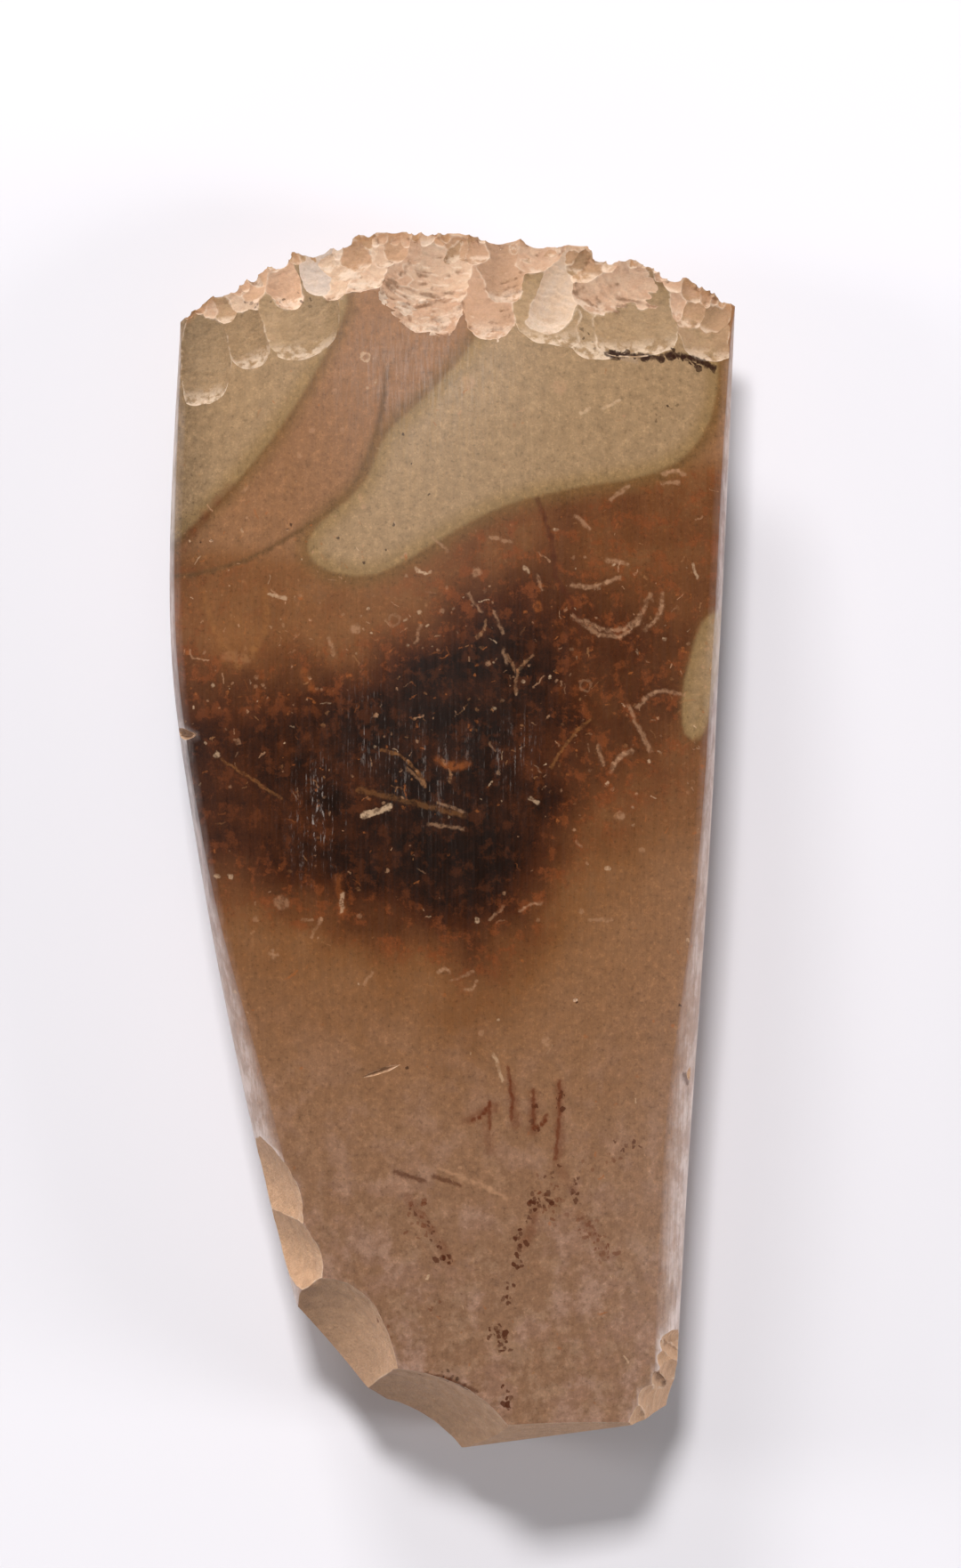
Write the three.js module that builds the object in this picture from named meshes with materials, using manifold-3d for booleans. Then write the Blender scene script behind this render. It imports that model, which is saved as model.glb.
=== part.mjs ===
// Polished flint axe head, lying on its back broad face.
// Millimetres. +Y runs toward the cutting edge, +X toward the straighter narrow side,
// +Z out of the front broad face. The plan is drawn about the mid-plane of the stone
// and moved at the end so that the bottom centre of the stone is the origin.

import * as THREE from 'three';
import { mergeVertices } from 'three/addons/utils/BufferGeometryUtils.js';
import { ParametricGeometry } from 'three/addons/geometries/ParametricGeometry.js';
import Module from 'manifold-3d';

const wasm = await Module();
wasm.setup();
const { Manifold, Mesh } = wasm;

// ---------------------------------------------------------------- sizes

const apexX = -4;            // highest point of the curved cutting edge
const apexY = 71.1;
const edgeDropLeft = 8.6;    // fall of the edge at its left reach
const edgeReachLeft = 25.4;
const edgePowerLeft = 2.5;
const edgeDropRight = 7.0;   // fall of the edge at its right reach
const edgeReachRight = 34.4;
const edgePowerRight = 2.9;
const buttY = -74;           // where the ground body would have ended before it broke
const bodyLength = apexY - buttY;
const restDepth = 13.55;     // mid-plane to the small flat rubbed on the back face
const planCentreX = 0.15;    // middle of the finished stone on the drawn plan
const planCentreY = 0.04;
const edgeShare = 1.55;      // rows crowd toward the cutting edge by this power
const planPasses = 12;       // passes that settle a place on the curved plan
const weldGap = 1e-5;        // corners nearer than this are one corner
const leastProud = 0.15;     // least height of the old surface above an edge flake's line
const proudShare = 0.8;      // share of the measured height that an edge flake keeps
const proudAtButt = 0.8;     // height of the old surface above a butt flake's line

// Plan: distance along the stone, left side, right side.
const planStations = [
  [-76, -12.0, 25.6],
  [-55, -17.8, 26.7],
  [-36, -22.6, 27.8],
  [-16, -26.9, 29.2],
  [5, -30.55, 30.5],
  [20, -32.5, 31.2],
  [36, -32.75, 32.0],
  [62, -31.5, 33.1],
];

// Section: distance behind the edge, half thickness, half height of the narrow side,
// swell of the left narrow side, swell of the right narrow side.
const sectionStations = [
  [0, 0, 0, 0, 0],
  [4, 3.4, 1.5, 0.35, 0.4],
  [10, 6.7, 3.2, 0.5, 0.6],
  [22, 10.0, 5.2, 0.7, 0.9],
  [44, 12.8, 6.9, 0.9, 1.0],
  [74, 14.0, 7.8, 1.3, 1.6],
  [100, 13.4, 7.9, 3.0, 3.1],
  [124, 12.0, 7.2, 3.0, 3.0],
  [146, 10.2, 6.4, 3.0, 2.4],
];

// ---------------------------------------------------------------- ground body

// Smooth curve through stations: cubic pieces whose slopes are taken from the neighbours.
function through(stations, column, at) {
  let i = 0;
  while (i < stations.length - 2 && at > stations[i + 1][0]) {
    i += 1;
  }
  const slope = (k) => {
    const a = stations[Math.max(k - 1, 0)];
    const b = stations[Math.min(k + 1, stations.length - 1)];
    return (b[column] - a[column]) / (b[0] - a[0]);
  };
  const p = stations[i];
  const q = stations[i + 1];
  const gap = q[0] - p[0];
  const f = (at - p[0]) / gap;
  const rise = q[column] - p[column];
  const slopeP = slope(i) * gap;
  const slopeQ = slope(i + 1) * gap;
  const bend = f * (1 - f) * ((1 - f) * (slopeP - rise) + f * (rise - slopeQ));
  return p[column] + rise * f + bend;
}

function edgeY(x) {
  const d = x - apexX;
  if (d < 0) {
    return apexY - edgeDropLeft * Math.pow(-d / edgeReachLeft, edgePowerLeft);
  }
  return apexY - edgeDropRight * Math.pow(d / edgeReachRight, edgePowerRight);
}

// Share of the way from the cutting edge (0) to the lost butt (1).
function shareAt(x, y) {
  return (edgeY(x) - y) / (edgeY(x) - buttY);
}

function section(share) {
  const s = share * bodyLength;
  return {
    half: through(sectionStations, 1, s),
    side: through(sectionStations, 2, s),
    swellLeft: through(sectionStations, 3, s),
    swellRight: through(sectionStations, 4, s),
  };
}

// Place on the mid-plane for a row and a place across it, -1 and 1 being the arrises;
// swell pushes past the arris onto the narrow side.
function planPoint(across, share, swell) {
  let x = 0;
  let y = apexY - share * bodyLength;
  for (let k = 0; k < planPasses; k += 1) {
    const cut = section(share);
    const left = through(planStations, 1, y) + cut.swellLeft;
    const right = through(planStations, 2, y) - cut.swellRight;
    x = left + (right - left) * (across + 1) / 2;
    x += across < 0 ? -swell * cut.swellLeft : swell * cut.swellRight;
    y = edgeY(x) - share * (edgeY(x) - buttY);
  }
  return [x, y];
}

// Height of the domed broad face over a place in plan.
function faceHeight(x, y) {
  const cut = section(shareAt(x, y));
  const left = through(planStations, 1, y) + cut.swellLeft;
  const right = through(planStations, 2, y) - cut.swellRight;
  const across = (2 * x - left - right) / (right - left);
  return cut.half - (cut.half - cut.side) * across * across;
}

const topColumns = 18;
const sideColumns = 4;
const ringColumns = 2 * (topColumns + sideColumns);
const rows = 34;

function ringPoint(u, v, target) {
  const step = Math.round((1 - u) * ringColumns) % ringColumns;
  const half = topColumns + sideColumns;
  const upper = step < half ? 1 : -1;
  const along = step % half;
  const share = v >= 1 ? 1 : Math.pow(v * rows / (rows - 1), edgeShare);
  const flatShare = Math.min(share, 1);
  const cut = section(flatShare);
  let place;
  let z;
  if (along <= topColumns) {
    const across = upper * (2 * along / topColumns - 1);
    place = planPoint(across, flatShare, 0);
    z = upper * (cut.half - (cut.half - cut.side) * across * across);
  } else {
    const level = 1 - 2 * (along - topColumns) / sideColumns;
    place = planPoint(upper, flatShare, 1 - level * level);
    z = upper * cut.side * level;
  }
  if (v >= 1) {
    const centre = planPoint(0, 1, 0);
    target.set(centre[0], centre[1], 0);
    return;
  }
  target.set(place[0], place[1], z);
}

function toSolid(geometry) {
  const bare = geometry.clone();
  bare.deleteAttribute('normal');
  bare.deleteAttribute('uv');
  const welded = mergeVertices(bare, weldGap);
  const index = welded.getIndex().array;
  const kept = [];
  for (let i = 0; i < index.length; i += 3) {
    const [a, b, c] = [index[i], index[i + 1], index[i + 2]];
    if (a !== b && b !== c && c !== a) {
      kept.push(a, b, c);
    }
  }
  return new Manifold(new Mesh({
    numProp: 3,
    vertProperties: new Float32Array(welded.getAttribute('position').array),
    triVerts: new Uint32Array(kept),
  }));
}

function toGeometry(solid) {
  const mesh = solid.getMesh();
  const geometry = new THREE.BufferGeometry();
  const points = new Float32Array(mesh.numVert * 3);
  for (let i = 0; i < mesh.numVert; i += 1) {
    for (let k = 0; k < 3; k += 1) {
      points[3 * i + k] = mesh.vertProperties[mesh.numProp * i + k];
    }
  }
  geometry.setAttribute('position', new THREE.BufferAttribute(points, 3));
  geometry.setIndex(new THREE.BufferAttribute(new Uint32Array(mesh.triVerts), 1));
  return geometry;
}

// ---------------------------------------------------------------- flake scars

const flakes = [];

// A flake scar is a shallow bowl: an elliptic paraboloid hollowed `dip` below the line
// from the struck point to the far end, `width` wide at the old surface. `proud` is how
// far the old surface stood above that line.
function flake({ from, to, out, width, dip, proud }) {
  const start = new THREE.Vector3(...from);
  const end = new THREE.Vector3(...to);
  const run = end.clone().sub(start);
  const length = run.length();
  const u = run.normalize();
  const n = new THREE.Vector3(...out);
  n.addScaledVector(u, -n.dot(u)).normalize();
  const v = new THREE.Vector3().crossVectors(n, u);
  const floor = start.clone().add(end).multiplyScalar(0.5).addScaledVector(n, -dip);
  const radiusAlong = length * length / (8 * dip);
  const radiusAcross = width * width / (8 * (dip + proud));
  flakes.push({ u, v, n, floor, radiusAlong, radiusAcross, length, width });
}

// Height of a scar's floor over a place in plan, or Infinity where it does not reach.
function scarHeight(scar, x, y) {
  const { u, v, n, floor, radiusAlong, radiusAcross } = scar;
  const low = new THREE.Vector3(x, y, 0).sub(floor);
  const a = -(u.z * u.z / radiusAlong + v.z * v.z / radiusAcross) / 2;
  const b = n.z - u.z * low.dot(u) / radiusAlong - v.z * low.dot(v) / radiusAcross;
  const c = low.dot(n) - low.dot(u) ** 2 / (2 * radiusAlong) - low.dot(v) ** 2 / (2 * radiusAcross);
  const root = b * b - 4 * a * c;
  if (root < 0 || Math.abs(a) < 1e-9) {
    return root < 0 ? Infinity : -c / b;
  }
  return Math.min((-b + Math.sqrt(root)) / (2 * a), (-b - Math.sqrt(root)) / (2 * a));
}

// Height of the stone still left at a place, on the front (1) or the back (-1).
function heightLeft(x, y, front) {
  let z = faceHeight(x, y);
  for (const scar of flakes) {
    if (scar.front === front) {
      const reached = scarHeight({ ...scar, ...mirror(scar, front) }, x, y);
      z = Math.min(z, Math.max(reached, -2));
    }
  }
  return z;
}

function mirror(scar, front) {
  const flip = (p) => new THREE.Vector3(p.x, p.y, p.z * front);
  return { u: flip(scar.u), v: flip(scar.v), n: flip(scar.n), floor: flip(scar.floor) };
}

// A flake struck from the cutting edge at x, running `reach` back toward the butt.
function edgeFlake([x, reach, lean, width, dip, bite, tilt], front) {
  const y = edgeY(x);
  const endX = x + lean;
  const endY = y - reach;
  const endZ = heightLeft(endX, endY, front);
  const middle = heightLeft(x + lean / 2, y - reach / 2, front);
  const proud = Math.max(leastProud, (middle - (endZ - bite) / 2) * proudShare);
  flake({
    from: [x, y, -bite * front],
    to: [endX, endY, endZ * front],
    out: [tilt, 0.5, front],
    width,
    dip,
    proud,
  });
  flakes[flakes.length - 1].front = front;
}

// Long thin scars of the first flaking, then the short steep retouch on top of them.
// Place across the edge, reach, sideways lean, width, hollow, bite out of the edge, tilt to one side.
const frontFlakes = [
  [-29.6, 11.6, 1.2, 6.2, 0.6, 0.1, -0.1],
  [-27.4, 9.2, 3.3, 4, 0.5, 0.05, 0.12],
  [-20.2, 12.6, 1.6, 9.6, 0.5, 0, -0.05],
  [-8.5, 6.4, 0.3, 8.4, 0.35, 0, 0.05],
  [-3.8, 11, 4.6, 10.5, 0.4, 0, -0.05],
  [3.9, 13, 0.8, 7.4, 0.35, 0, 0.06],
  [12.2, 13.2, 0.8, 13, 0.35, 0, -0.03],
  [19, 12.6, 0.2, 9.5, 0.35, 0, 0.05],
  [24.2, 10.4, 0.7, 12, 0.4, 0, -0.04],
  [29.6, 8.8, 0.2, 6.4, 0.35, 0.05, 0.08],
  [-24.4, 3.7, 0.8, 6, 0.4, 0.05, -0.1],
  [-21, 5.2, 0.6, 4.6, 0.4, 0, 0.12],
  [-15.6, 6.8, -0.7, 5.4, 0.6, 0.9, 0.05],
  [-11.9, 7.8, -2.7, 4, 0.4, 0.15, -0.12],
  [-10.2, 6, 0.3, 3.4, 0.35, 0.1, 0.12],
  [-7.2, 4, 0.2, 4.2, 0.4, 0.05, -0.08],
  [-0.7, 9.2, -1.1, 8.8, 0.6, 0.2, 0.06],
  [6.2, 7.8, 1.4, 6, 0.55, 1.4, -0.1],
  [10.6, 4.2, 0, 8.8, 0.5, 0.8, 0.05],
  [14.6, 10.8, -1.6, 5.2, 0.5, 0.6, 0],
  [16.8, 4.6, 0.6, 3.6, 0.4, 0.05, 0.1],
  [22.6, 6.9, -1.4, 10, 0.55, 0.1, -0.08],
  [27.1, 4.9, -0.4, 3, 0.35, 0, 0.12],
  [29.3, 4.7, -0.7, 3.2, 0.35, 0.05, -0.1],
  [31.9, 4.2, -1.6, 3.4, 0.4, 0.2, 0.12],
];

for (const scar of frontFlakes) {
  edgeFlake(scar, 1);
}

// The hidden back carries a plainer row of the same flaking.
const backFlakeCount = 8;
for (let i = 0; i < backFlakeCount; i += 1) {
  const place = (i + 0.5) / backFlakeCount;
  const x = -29 + 60 * place;
  const sway = Math.sin(2.4 * i + 0.7);
  edgeFlake([x, 8.6 + 2.2 * sway, 1.2 * sway, 8.4 + sway, 0.4, 0.05, 0.06 * sway], -1);
}
for (let i = 0; i < backFlakeCount; i += 1) {
  const place = (i + 0.1) / backFlakeCount;
  const x = -28 + 60 * place;
  const sway = Math.sin(1.9 * i + 2.1);
  edgeFlake([x, 4.2 + 0.9 * sway, 0.6 * sway, 4.8 + sway, 0.4, 0.1, 0.08 * sway], -1);
}

// Flakes off the butt and its corners, each from its struck point to its far end.
const ridgeZ = -2;
const buttFlakes = [
  // front of the broken left corner
  { from: [-14.2, -59.6, ridgeZ], to: [-9.6, -52.6], out: [-0.5, -0.6, 0.6], width: 11.5, dip: 0.8 },
  { from: [-3.7, -66.7, ridgeZ], to: [-0.4, -62.0], out: [-0.4, -0.8, 0.4], width: 15, dip: 0.7 },
  // narrow scars down the lower left side
  { from: [-21.3, -41.0, 0], to: [-17.2, -41.8], out: [-0.9, 0, 0.5], width: 9, dip: 0.25 },
  { from: [-19.6, -47.6, 0], to: [-15.0, -48.0], out: [-0.9, 0, 0.5], width: 8, dip: 0.3 },
  // chip at the right corner, and the pit on the right arris
  { from: [27.2, -64.5, -7], to: [24.4, -61.8], out: [0.82, -0.57, 0.12], width: 8, dip: 0.4 },
  { from: [28.9, -27.4, 1.5], to: [26.6, -27.4], out: [0.9, 0, 0.4], width: 6, dip: 0.3 },
];
for (const { from, to, out, width, dip } of buttFlakes) {
  const end = [to[0], to[1], faceHeight(to[0], to[1])];
  flake({ from, to: end, out, width, dip, proud: proudAtButt });
}

// The same corner from the back, cut from the ridge line down to the back face.
const backCornerFlakes = [
  { from: [-15.2, -57.6, ridgeZ], to: [-12.2, -53.4], out: [-0.7, -0.6, -0.4], width: 12, dip: 0.6 },
  { from: [-3.7, -66.7, ridgeZ], to: [-2.0, -63.2], out: [-0.5, -0.8, -0.3], width: 15, dip: 0.6 },
];
for (const { from, to, out, width, dip } of backCornerFlakes) {
  const end = [to[0], to[1], -faceHeight(to[0], to[1])];
  flake({ from, to: end, out, width, dip, proud: proudAtButt });
}

const cutterRings = 6;
const cutterSides = 18;
const cutterRise = 7;

// The stone a flake took away: the inside of its paraboloid, capped well above the surface.
function flakeCutter({ u, v, n, floor, radiusAlong, radiusAcross }) {
  const profile = [];
  for (let k = 0; k <= cutterRings; k += 1) {
    const f = k / cutterRings;
    profile.push(new THREE.Vector2(f, f * f));
  }
  profile.push(new THREE.Vector2(0, 1));
  const bowl = new THREE.LatheGeometry(profile, cutterSides);
  bowl.scale(
    Math.sqrt(2 * radiusAlong * cutterRise),
    cutterRise,
    Math.sqrt(2 * radiusAcross * cutterRise),
  );
  const frame = new THREE.Matrix4().makeBasis(u, n, new THREE.Vector3().crossVectors(u, n));
  frame.setPosition(floor);
  bowl.applyMatrix4(frame);
  return toSolid(bowl);
}

// ---------------------------------------------------------------- flat cuts

// A flat cut through a place, everything on the outward side removed.
function flatCutter(place, outward) {
  const size = 120;
  const slab = new THREE.BoxGeometry(size, size, size);
  slab.translate(0, 0, size / 2);
  const turn = new THREE.Quaternion().setFromUnitVectors(
    new THREE.Vector3(0, 0, 1),
    new THREE.Vector3(...outward).normalize(),
  );
  slab.applyQuaternion(turn);
  slab.translate(...place);
  return toSolid(slab);
}

const buttCuts = [
  // the two steps of the broken left corner
  { place: [-13.5, -59.3, 0], outward: [-0.764, -0.645, 0] },
  { place: [-4.6, -67.2, 0], outward: [-0.566, -0.824, 0] },
  // sloping end facet toward the front, and the one behind it
  { place: [23.7, -67.2, 7.0], outward: [0.058, -0.966, 0.253] },
  { place: [1.35, -70.9, -3.0], outward: [0.193, -0.979, -0.068] },
];

// ---------------------------------------------------------------- the stone

let stone = toSolid(new ParametricGeometry(ringPoint, ringColumns, rows));
if (stone.volume() < 0) {
  throw new Error('the ground body is inside out');
}
for (const { place, outward } of buttCuts) {
  stone = stone.subtract(flatCutter(place, outward));
}
for (const scar of flakes) {
  stone = stone.subtract(flakeCutter(scar));
}
stone = stone.subtract(flatCutter([0, 0, -restDepth], [0, 0, -1]));

const finished = toGeometry(stone);
finished.translate(-planCentreX, -planCentreY, restDepth);
finished.computeVertexNormals();

const flint = new THREE.MeshStandardMaterial({
  name: 'flint',
  color: 0x8f6a4a,
  roughness: 0.45,
  metalness: 0,
});
const axeHead = new THREE.Mesh(finished, flint);
axeHead.name = 'axe_head';

const axe = new THREE.Group();
axe.name = 'polished_flint_axe';
axe.add(axeHead);

export default axe;
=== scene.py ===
"""Polished flint axe head lying on its back face: the dressed stone, its floor, light and camera."""

import logging
import math
from dataclasses import dataclass, field
from enum import Enum

import bpy
import numpy as np
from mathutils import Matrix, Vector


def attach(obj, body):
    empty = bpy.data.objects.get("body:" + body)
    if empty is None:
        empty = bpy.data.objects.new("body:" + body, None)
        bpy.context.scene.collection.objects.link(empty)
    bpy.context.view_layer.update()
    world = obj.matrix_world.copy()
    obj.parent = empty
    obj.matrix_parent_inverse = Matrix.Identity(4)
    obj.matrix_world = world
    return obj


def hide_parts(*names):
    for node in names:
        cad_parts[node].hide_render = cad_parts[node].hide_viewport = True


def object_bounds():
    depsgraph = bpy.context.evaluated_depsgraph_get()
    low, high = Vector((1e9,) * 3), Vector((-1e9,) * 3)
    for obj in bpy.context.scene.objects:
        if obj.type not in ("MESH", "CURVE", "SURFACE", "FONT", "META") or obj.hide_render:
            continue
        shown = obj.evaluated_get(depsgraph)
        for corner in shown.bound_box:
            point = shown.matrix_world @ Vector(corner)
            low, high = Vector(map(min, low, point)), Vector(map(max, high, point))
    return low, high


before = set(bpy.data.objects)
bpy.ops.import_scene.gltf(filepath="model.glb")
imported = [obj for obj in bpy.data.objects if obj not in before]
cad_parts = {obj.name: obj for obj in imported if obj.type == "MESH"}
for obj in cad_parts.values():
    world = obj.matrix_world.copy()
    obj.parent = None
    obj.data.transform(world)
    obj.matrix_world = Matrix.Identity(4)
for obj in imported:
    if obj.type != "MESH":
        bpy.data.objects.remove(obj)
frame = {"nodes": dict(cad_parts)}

CAD_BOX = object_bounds()
LOG = logging.getLogger("flint_axe")
MM = 0.001
Table = tuple[tuple[float, ...], ...]
Socket = bpy.types.NodeSocket

# Middle of the finished stone on the drawn plan, and how deep the small resting flat lies, in mm.
PLAN_CENTRE = (0.15, 0.04)
REST_DEPTH = 13.55
# How many strokes each face stores, and the half width of a stroke that never shows.
STROKE_LAYERS = 3
HIDDEN_STROKE = -9.0
# Least turn, in radians, that makes a sharp line, and least slope that makes it a ridge or a crease.
SHARP_TURN = math.radians(25)
SHARP_SLOPE = 0.06


def through(stations: Table, column: int, at: np.ndarray) -> np.ndarray:
    """Smooth curve through stations: cubic pieces whose slopes come from the neighbouring stations.

    Args:
        stations: rows whose first number is the place along and the others the values there.
        column: which value to follow.
        at: places along, any shape.

    Returns:
        The values at those places.
    """
    table = np.asarray(stations, float)
    x, y = table[:, 0], table[:, column]
    last = len(x) - 1
    k = np.arange(last + 1)
    low, high = np.maximum(k - 1, 0), np.minimum(k + 1, last)
    slope = (y[high] - y[low]) / (x[high] - x[low])
    i = np.clip(np.searchsorted(x, at, side="left") - 1, 0, last - 1)
    gap = x[i + 1] - x[i]
    f = (at - x[i]) / gap
    rise = y[i + 1] - y[i]
    bend = f * (1 - f) * ((1 - f) * (slope[i] * gap - rise) + f * (rise - slope[i + 1] * gap))
    return y[i] + rise * f + bend


def unit(vector: np.ndarray) -> np.ndarray:
    """The vector at length one."""
    return vector / np.linalg.norm(vector)


def ramp(low: float, high: float, value: np.ndarray) -> np.ndarray:
    """Smooth step from 0 at low to 1 at high."""
    f = np.clip((value - low) / (high - low), 0, 1)
    return f * f * (3 - 2 * f)


def new_mesh_object(name: str, points: np.ndarray, faces: list) -> bpy.types.Object:
    """A mesh object at the origin.

    Args:
        name: the object's name.
        points: its vertices, in mm.
        faces: its faces as vertex numbers.

    Returns:
        The object, linked to the scene, in metres.
    """
    mesh = bpy.data.meshes.new(name)
    mesh.from_pydata((points * MM).tolist(), [], faces)
    mesh.update()
    made = bpy.data.objects.new(name, mesh)
    bpy.context.scene.collection.objects.link(made)
    return made


def read_mesh(items: object, name: str, width: int = 1, kind: type = float) -> np.ndarray:
    """Reads one value or vector of every vertex, edge, face or corner.

    Args:
        items: the mesh's vertices, edges, polygons or loops, or the data of an attribute.
        name: which value to read.
        width: how many numbers each has.
        kind: type of the numbers.

    Returns:
        One number each, or one row each where the width is more than 1.
    """
    flat = np.empty(len(items) * width, kind)
    items.foreach_get(name, flat)
    return flat.reshape(-1, width) if width > 1 else flat


def store_field(mesh: bpy.types.Mesh, name: str, domain: str, values: np.ndarray) -> None:
    """Stores a number or a vector on every vertex, face or corner, for the material to read.

    Args:
        mesh: the mesh.
        name: name of the field.
        domain: POINT, FACE or CORNER.
        values: one number each, or one row of three each.
    """
    kind, key = ("FLOAT_VECTOR", "vector") if values.ndim > 1 else ("FLOAT", "value")
    store = mesh.attributes.new(name, kind, domain)
    store.data.foreach_set(key, values.astype(np.float32).ravel())


def face_labels(made: bpy.types.Object, label: int) -> None:
    """Writes one whole number on every face, so that a cut face can be told by it afterwards.

    Args:
        made: the mesh object.
        label: the number.
    """
    store = made.data.attributes.new("worked_by", "INT", "FACE")
    store.data.foreach_set("value", np.full(len(made.data.polygons), label, np.int32))


class Working(Enum):
    """How a stretch of the surface was made."""

    GROUND = 0
    EDGE_SCAR = 1
    BUTT_SCAR = 2
    FRESH_CHIP = 3


@dataclass(frozen=True)
class GroundBody:
    """The polished axe before it was flaked: domed faces, narrow sides, a curved edge. Sizes in mm."""

    apex_x: float = -4.0
    apex_y: float = 71.1
    drop_left: tuple[float, float, float] = (8.6, 25.4, 2.5)
    drop_right: tuple[float, float, float] = (7.0, 34.4, 2.9)
    butt_y: float = -74.0
    plan: Table = (
        (-76, -12.0, 25.6),
        (-55, -17.8, 26.7),
        (-36, -22.6, 27.8),
        (-16, -26.9, 29.2),
        (5, -30.55, 30.5),
        (20, -32.5, 31.2),
        (36, -32.75, 32.0),
        (62, -31.5, 33.1),
    )
    profile: Table = (
        (0, 0, 0, 0, 0),
        (4, 3.4, 1.5, 0.35, 0.4),
        (10, 6.7, 3.2, 0.5, 0.6),
        (22, 10.0, 5.2, 0.7, 0.9),
        (44, 12.8, 6.9, 0.9, 1.0),
        (74, 14.0, 7.8, 1.3, 1.6),
        (100, 13.4, 7.9, 3.0, 3.1),
        (124, 12.0, 7.2, 3.0, 3.0),
        (146, 10.2, 6.4, 3.0, 2.4),
    )
    face_columns: int = 68
    side_columns: int = 8
    rows: int = 132
    row_crowding: float = 1.3
    waviness: float = 0.035
    place_rounds: int = 12

    def edge_y(self, x: np.ndarray) -> np.ndarray:
        """Line of the cutting edge: the apex less a power of the distance from it, each side its own.

        Args:
            x: places across.

        Returns:
            Their y on the edge.
        """
        d = np.asarray(x, float) - self.apex_x
        left = self.drop_left[0] * np.abs(d / self.drop_left[1]) ** self.drop_left[2]
        right = self.drop_right[0] * np.abs(d / self.drop_right[1]) ** self.drop_right[2]
        return self.apex_y - np.where(d < 0, left, right)

    def share_at(self, x: np.ndarray, y: np.ndarray) -> np.ndarray:
        """Share of the way from the cutting edge (0) to the lost butt (1)."""
        edge = self.edge_y(x)
        return (edge - y) / (edge - self.butt_y)

    def section(self, share: np.ndarray) -> list[np.ndarray]:
        """Half thickness, half height of the narrow side, and the swell of the left and right sides."""
        behind = share * (self.apex_y - self.butt_y)
        return [through(self.profile, column, behind) for column in (1, 2, 3, 4)]

    def place(
        self, across: np.ndarray, share: np.ndarray, swell: np.ndarray
    ) -> tuple[np.ndarray, np.ndarray]:
        """Place on the mid-plane for a row and a place across it, found by going round a few times.

        Args:
            across: -1 to 1 between the two arrises.
            share: the row, 0 at the cutting edge.
            swell: 0 on the face and up to 1 past the arris, on the narrow side.

        Returns:
            The x and y of the place.
        """
        y = self.apex_y - share * (self.apex_y - self.butt_y)
        _, _, swell_left, swell_right = self.section(share)
        for _ in range(self.place_rounds):
            left = through(self.plan, 1, y) + swell_left
            right = through(self.plan, 2, y) - swell_right
            x = left + (right - left) * (across + 1) / 2
            x = x + np.where(across < 0, -swell * swell_left, swell * swell_right)
            edge = self.edge_y(x)
            y = edge - share * (edge - self.butt_y)
        return x, y

    def face_height(self, x: np.ndarray, y: np.ndarray) -> np.ndarray:
        """Height of the domed face: the half thickness, less a square of the place across.

        Args:
            x: places across.
            y: places along.

        Returns:
            Heights above the mid-plane.
        """
        half, side, swell_left, swell_right = self.section(np.clip(self.share_at(x, y), 0, 1))
        left = through(self.plan, 1, y) + swell_left
        right = through(self.plan, 2, y) - swell_right
        across = (2 * x - left - right) / (right - left)
        return half - (half - side) * across**2

    def height_at(self, x: float, y: float) -> float:
        """Height of the domed face at one place."""
        return float(self.face_height(np.array(x), np.array(y)))

    def waves(self, x: np.ndarray, y: np.ndarray) -> np.ndarray:
        """Long shallow waves left by grinding, never above the true face: a few sines laid mostly along Y.

        Args:
            x: places across.
            y: places along.

        Returns:
            Heights, none above 0.
        """
        total = np.zeros_like(x)
        for k, (width, length) in enumerate(((7.3, 61.0), (11.9, 43.0), (5.1, 37.0), (17.0, 29.0))):
            total += np.sin(2 * np.pi * (x / width + y / length) + 1.7 * k)
            total += 0.6 * np.sin(2 * np.pi * (x / (1.3 * width) - y / length) + 2.9 * k)
        return self.waviness * (total / 6.4 - 1)

    def surface(self) -> tuple[np.ndarray, np.ndarray]:
        """The closed body as a grid of rings: across a face, down a side, back across the other face and up.

        On a face z is the face height; on a side z falls evenly while the swell follows one less its square.

        Returns:
            Vertices (n, 3) in mm and triangles (m, 3).
        """
        face, side = self.face_columns, self.side_columns
        half_ring = face + side
        ring = 2 * half_ring
        step = np.arange(ring)
        upper = np.where(step < half_ring, 1.0, -1.0)
        along = step % half_ring
        on_face = along <= face
        across = np.where(on_face, upper * (2 * along / face - 1), upper)
        level = np.where(on_face, 0.0, 1 - 2 * (along - face) / side)
        row = np.arange(self.rows + 1) / self.rows
        share = (row**self.row_crowding)[:, None] + 0 * across[None, :]
        swell = np.where(on_face, 0.0, 1 - level**2)[None, :] + 0 * share
        x, y = self.place(across[None, :] + 0 * share, share, swell)
        half, side_half, _, _ = self.section(share)
        dome = half - (half - side_half) * across**2
        calm = (1 - across**2) * ramp(0.02, 0.2, share)
        dome = dome + self.waves(x, y) * calm
        z = np.where(on_face, upper * dome, upper * side_half * level)
        points = np.stack([x, y, z], axis=-1).reshape(-1, 3)
        number = np.arange((self.rows + 1) * ring).reshape(self.rows + 1, ring)
        number[0] = self.edge_row(ring, half_ring, face)
        nxt = np.roll(number, -1, axis=1)
        a, b, c, d = number[:-1], nxt[:-1], nxt[1:], number[1:]
        triangles = np.concatenate([
            np.stack([a, b, c], -1).reshape(-1, 3),
            np.stack([a, c, d], -1).reshape(-1, 3),
        ])
        end = number[-1]
        centre = len(points)
        points = np.vstack([points, points[end].mean(axis=0)])
        cap = np.stack([end, np.roll(end, -1), np.full(ring, centre)], -1)
        triangles = np.concatenate([triangles, cap])
        whole = (triangles[:, 0] != triangles[:, 1]) & (triangles[:, 1] != triangles[:, 2])
        whole &= triangles[:, 2] != triangles[:, 0]
        return points, triangles[whole][:, ::-1]

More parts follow.
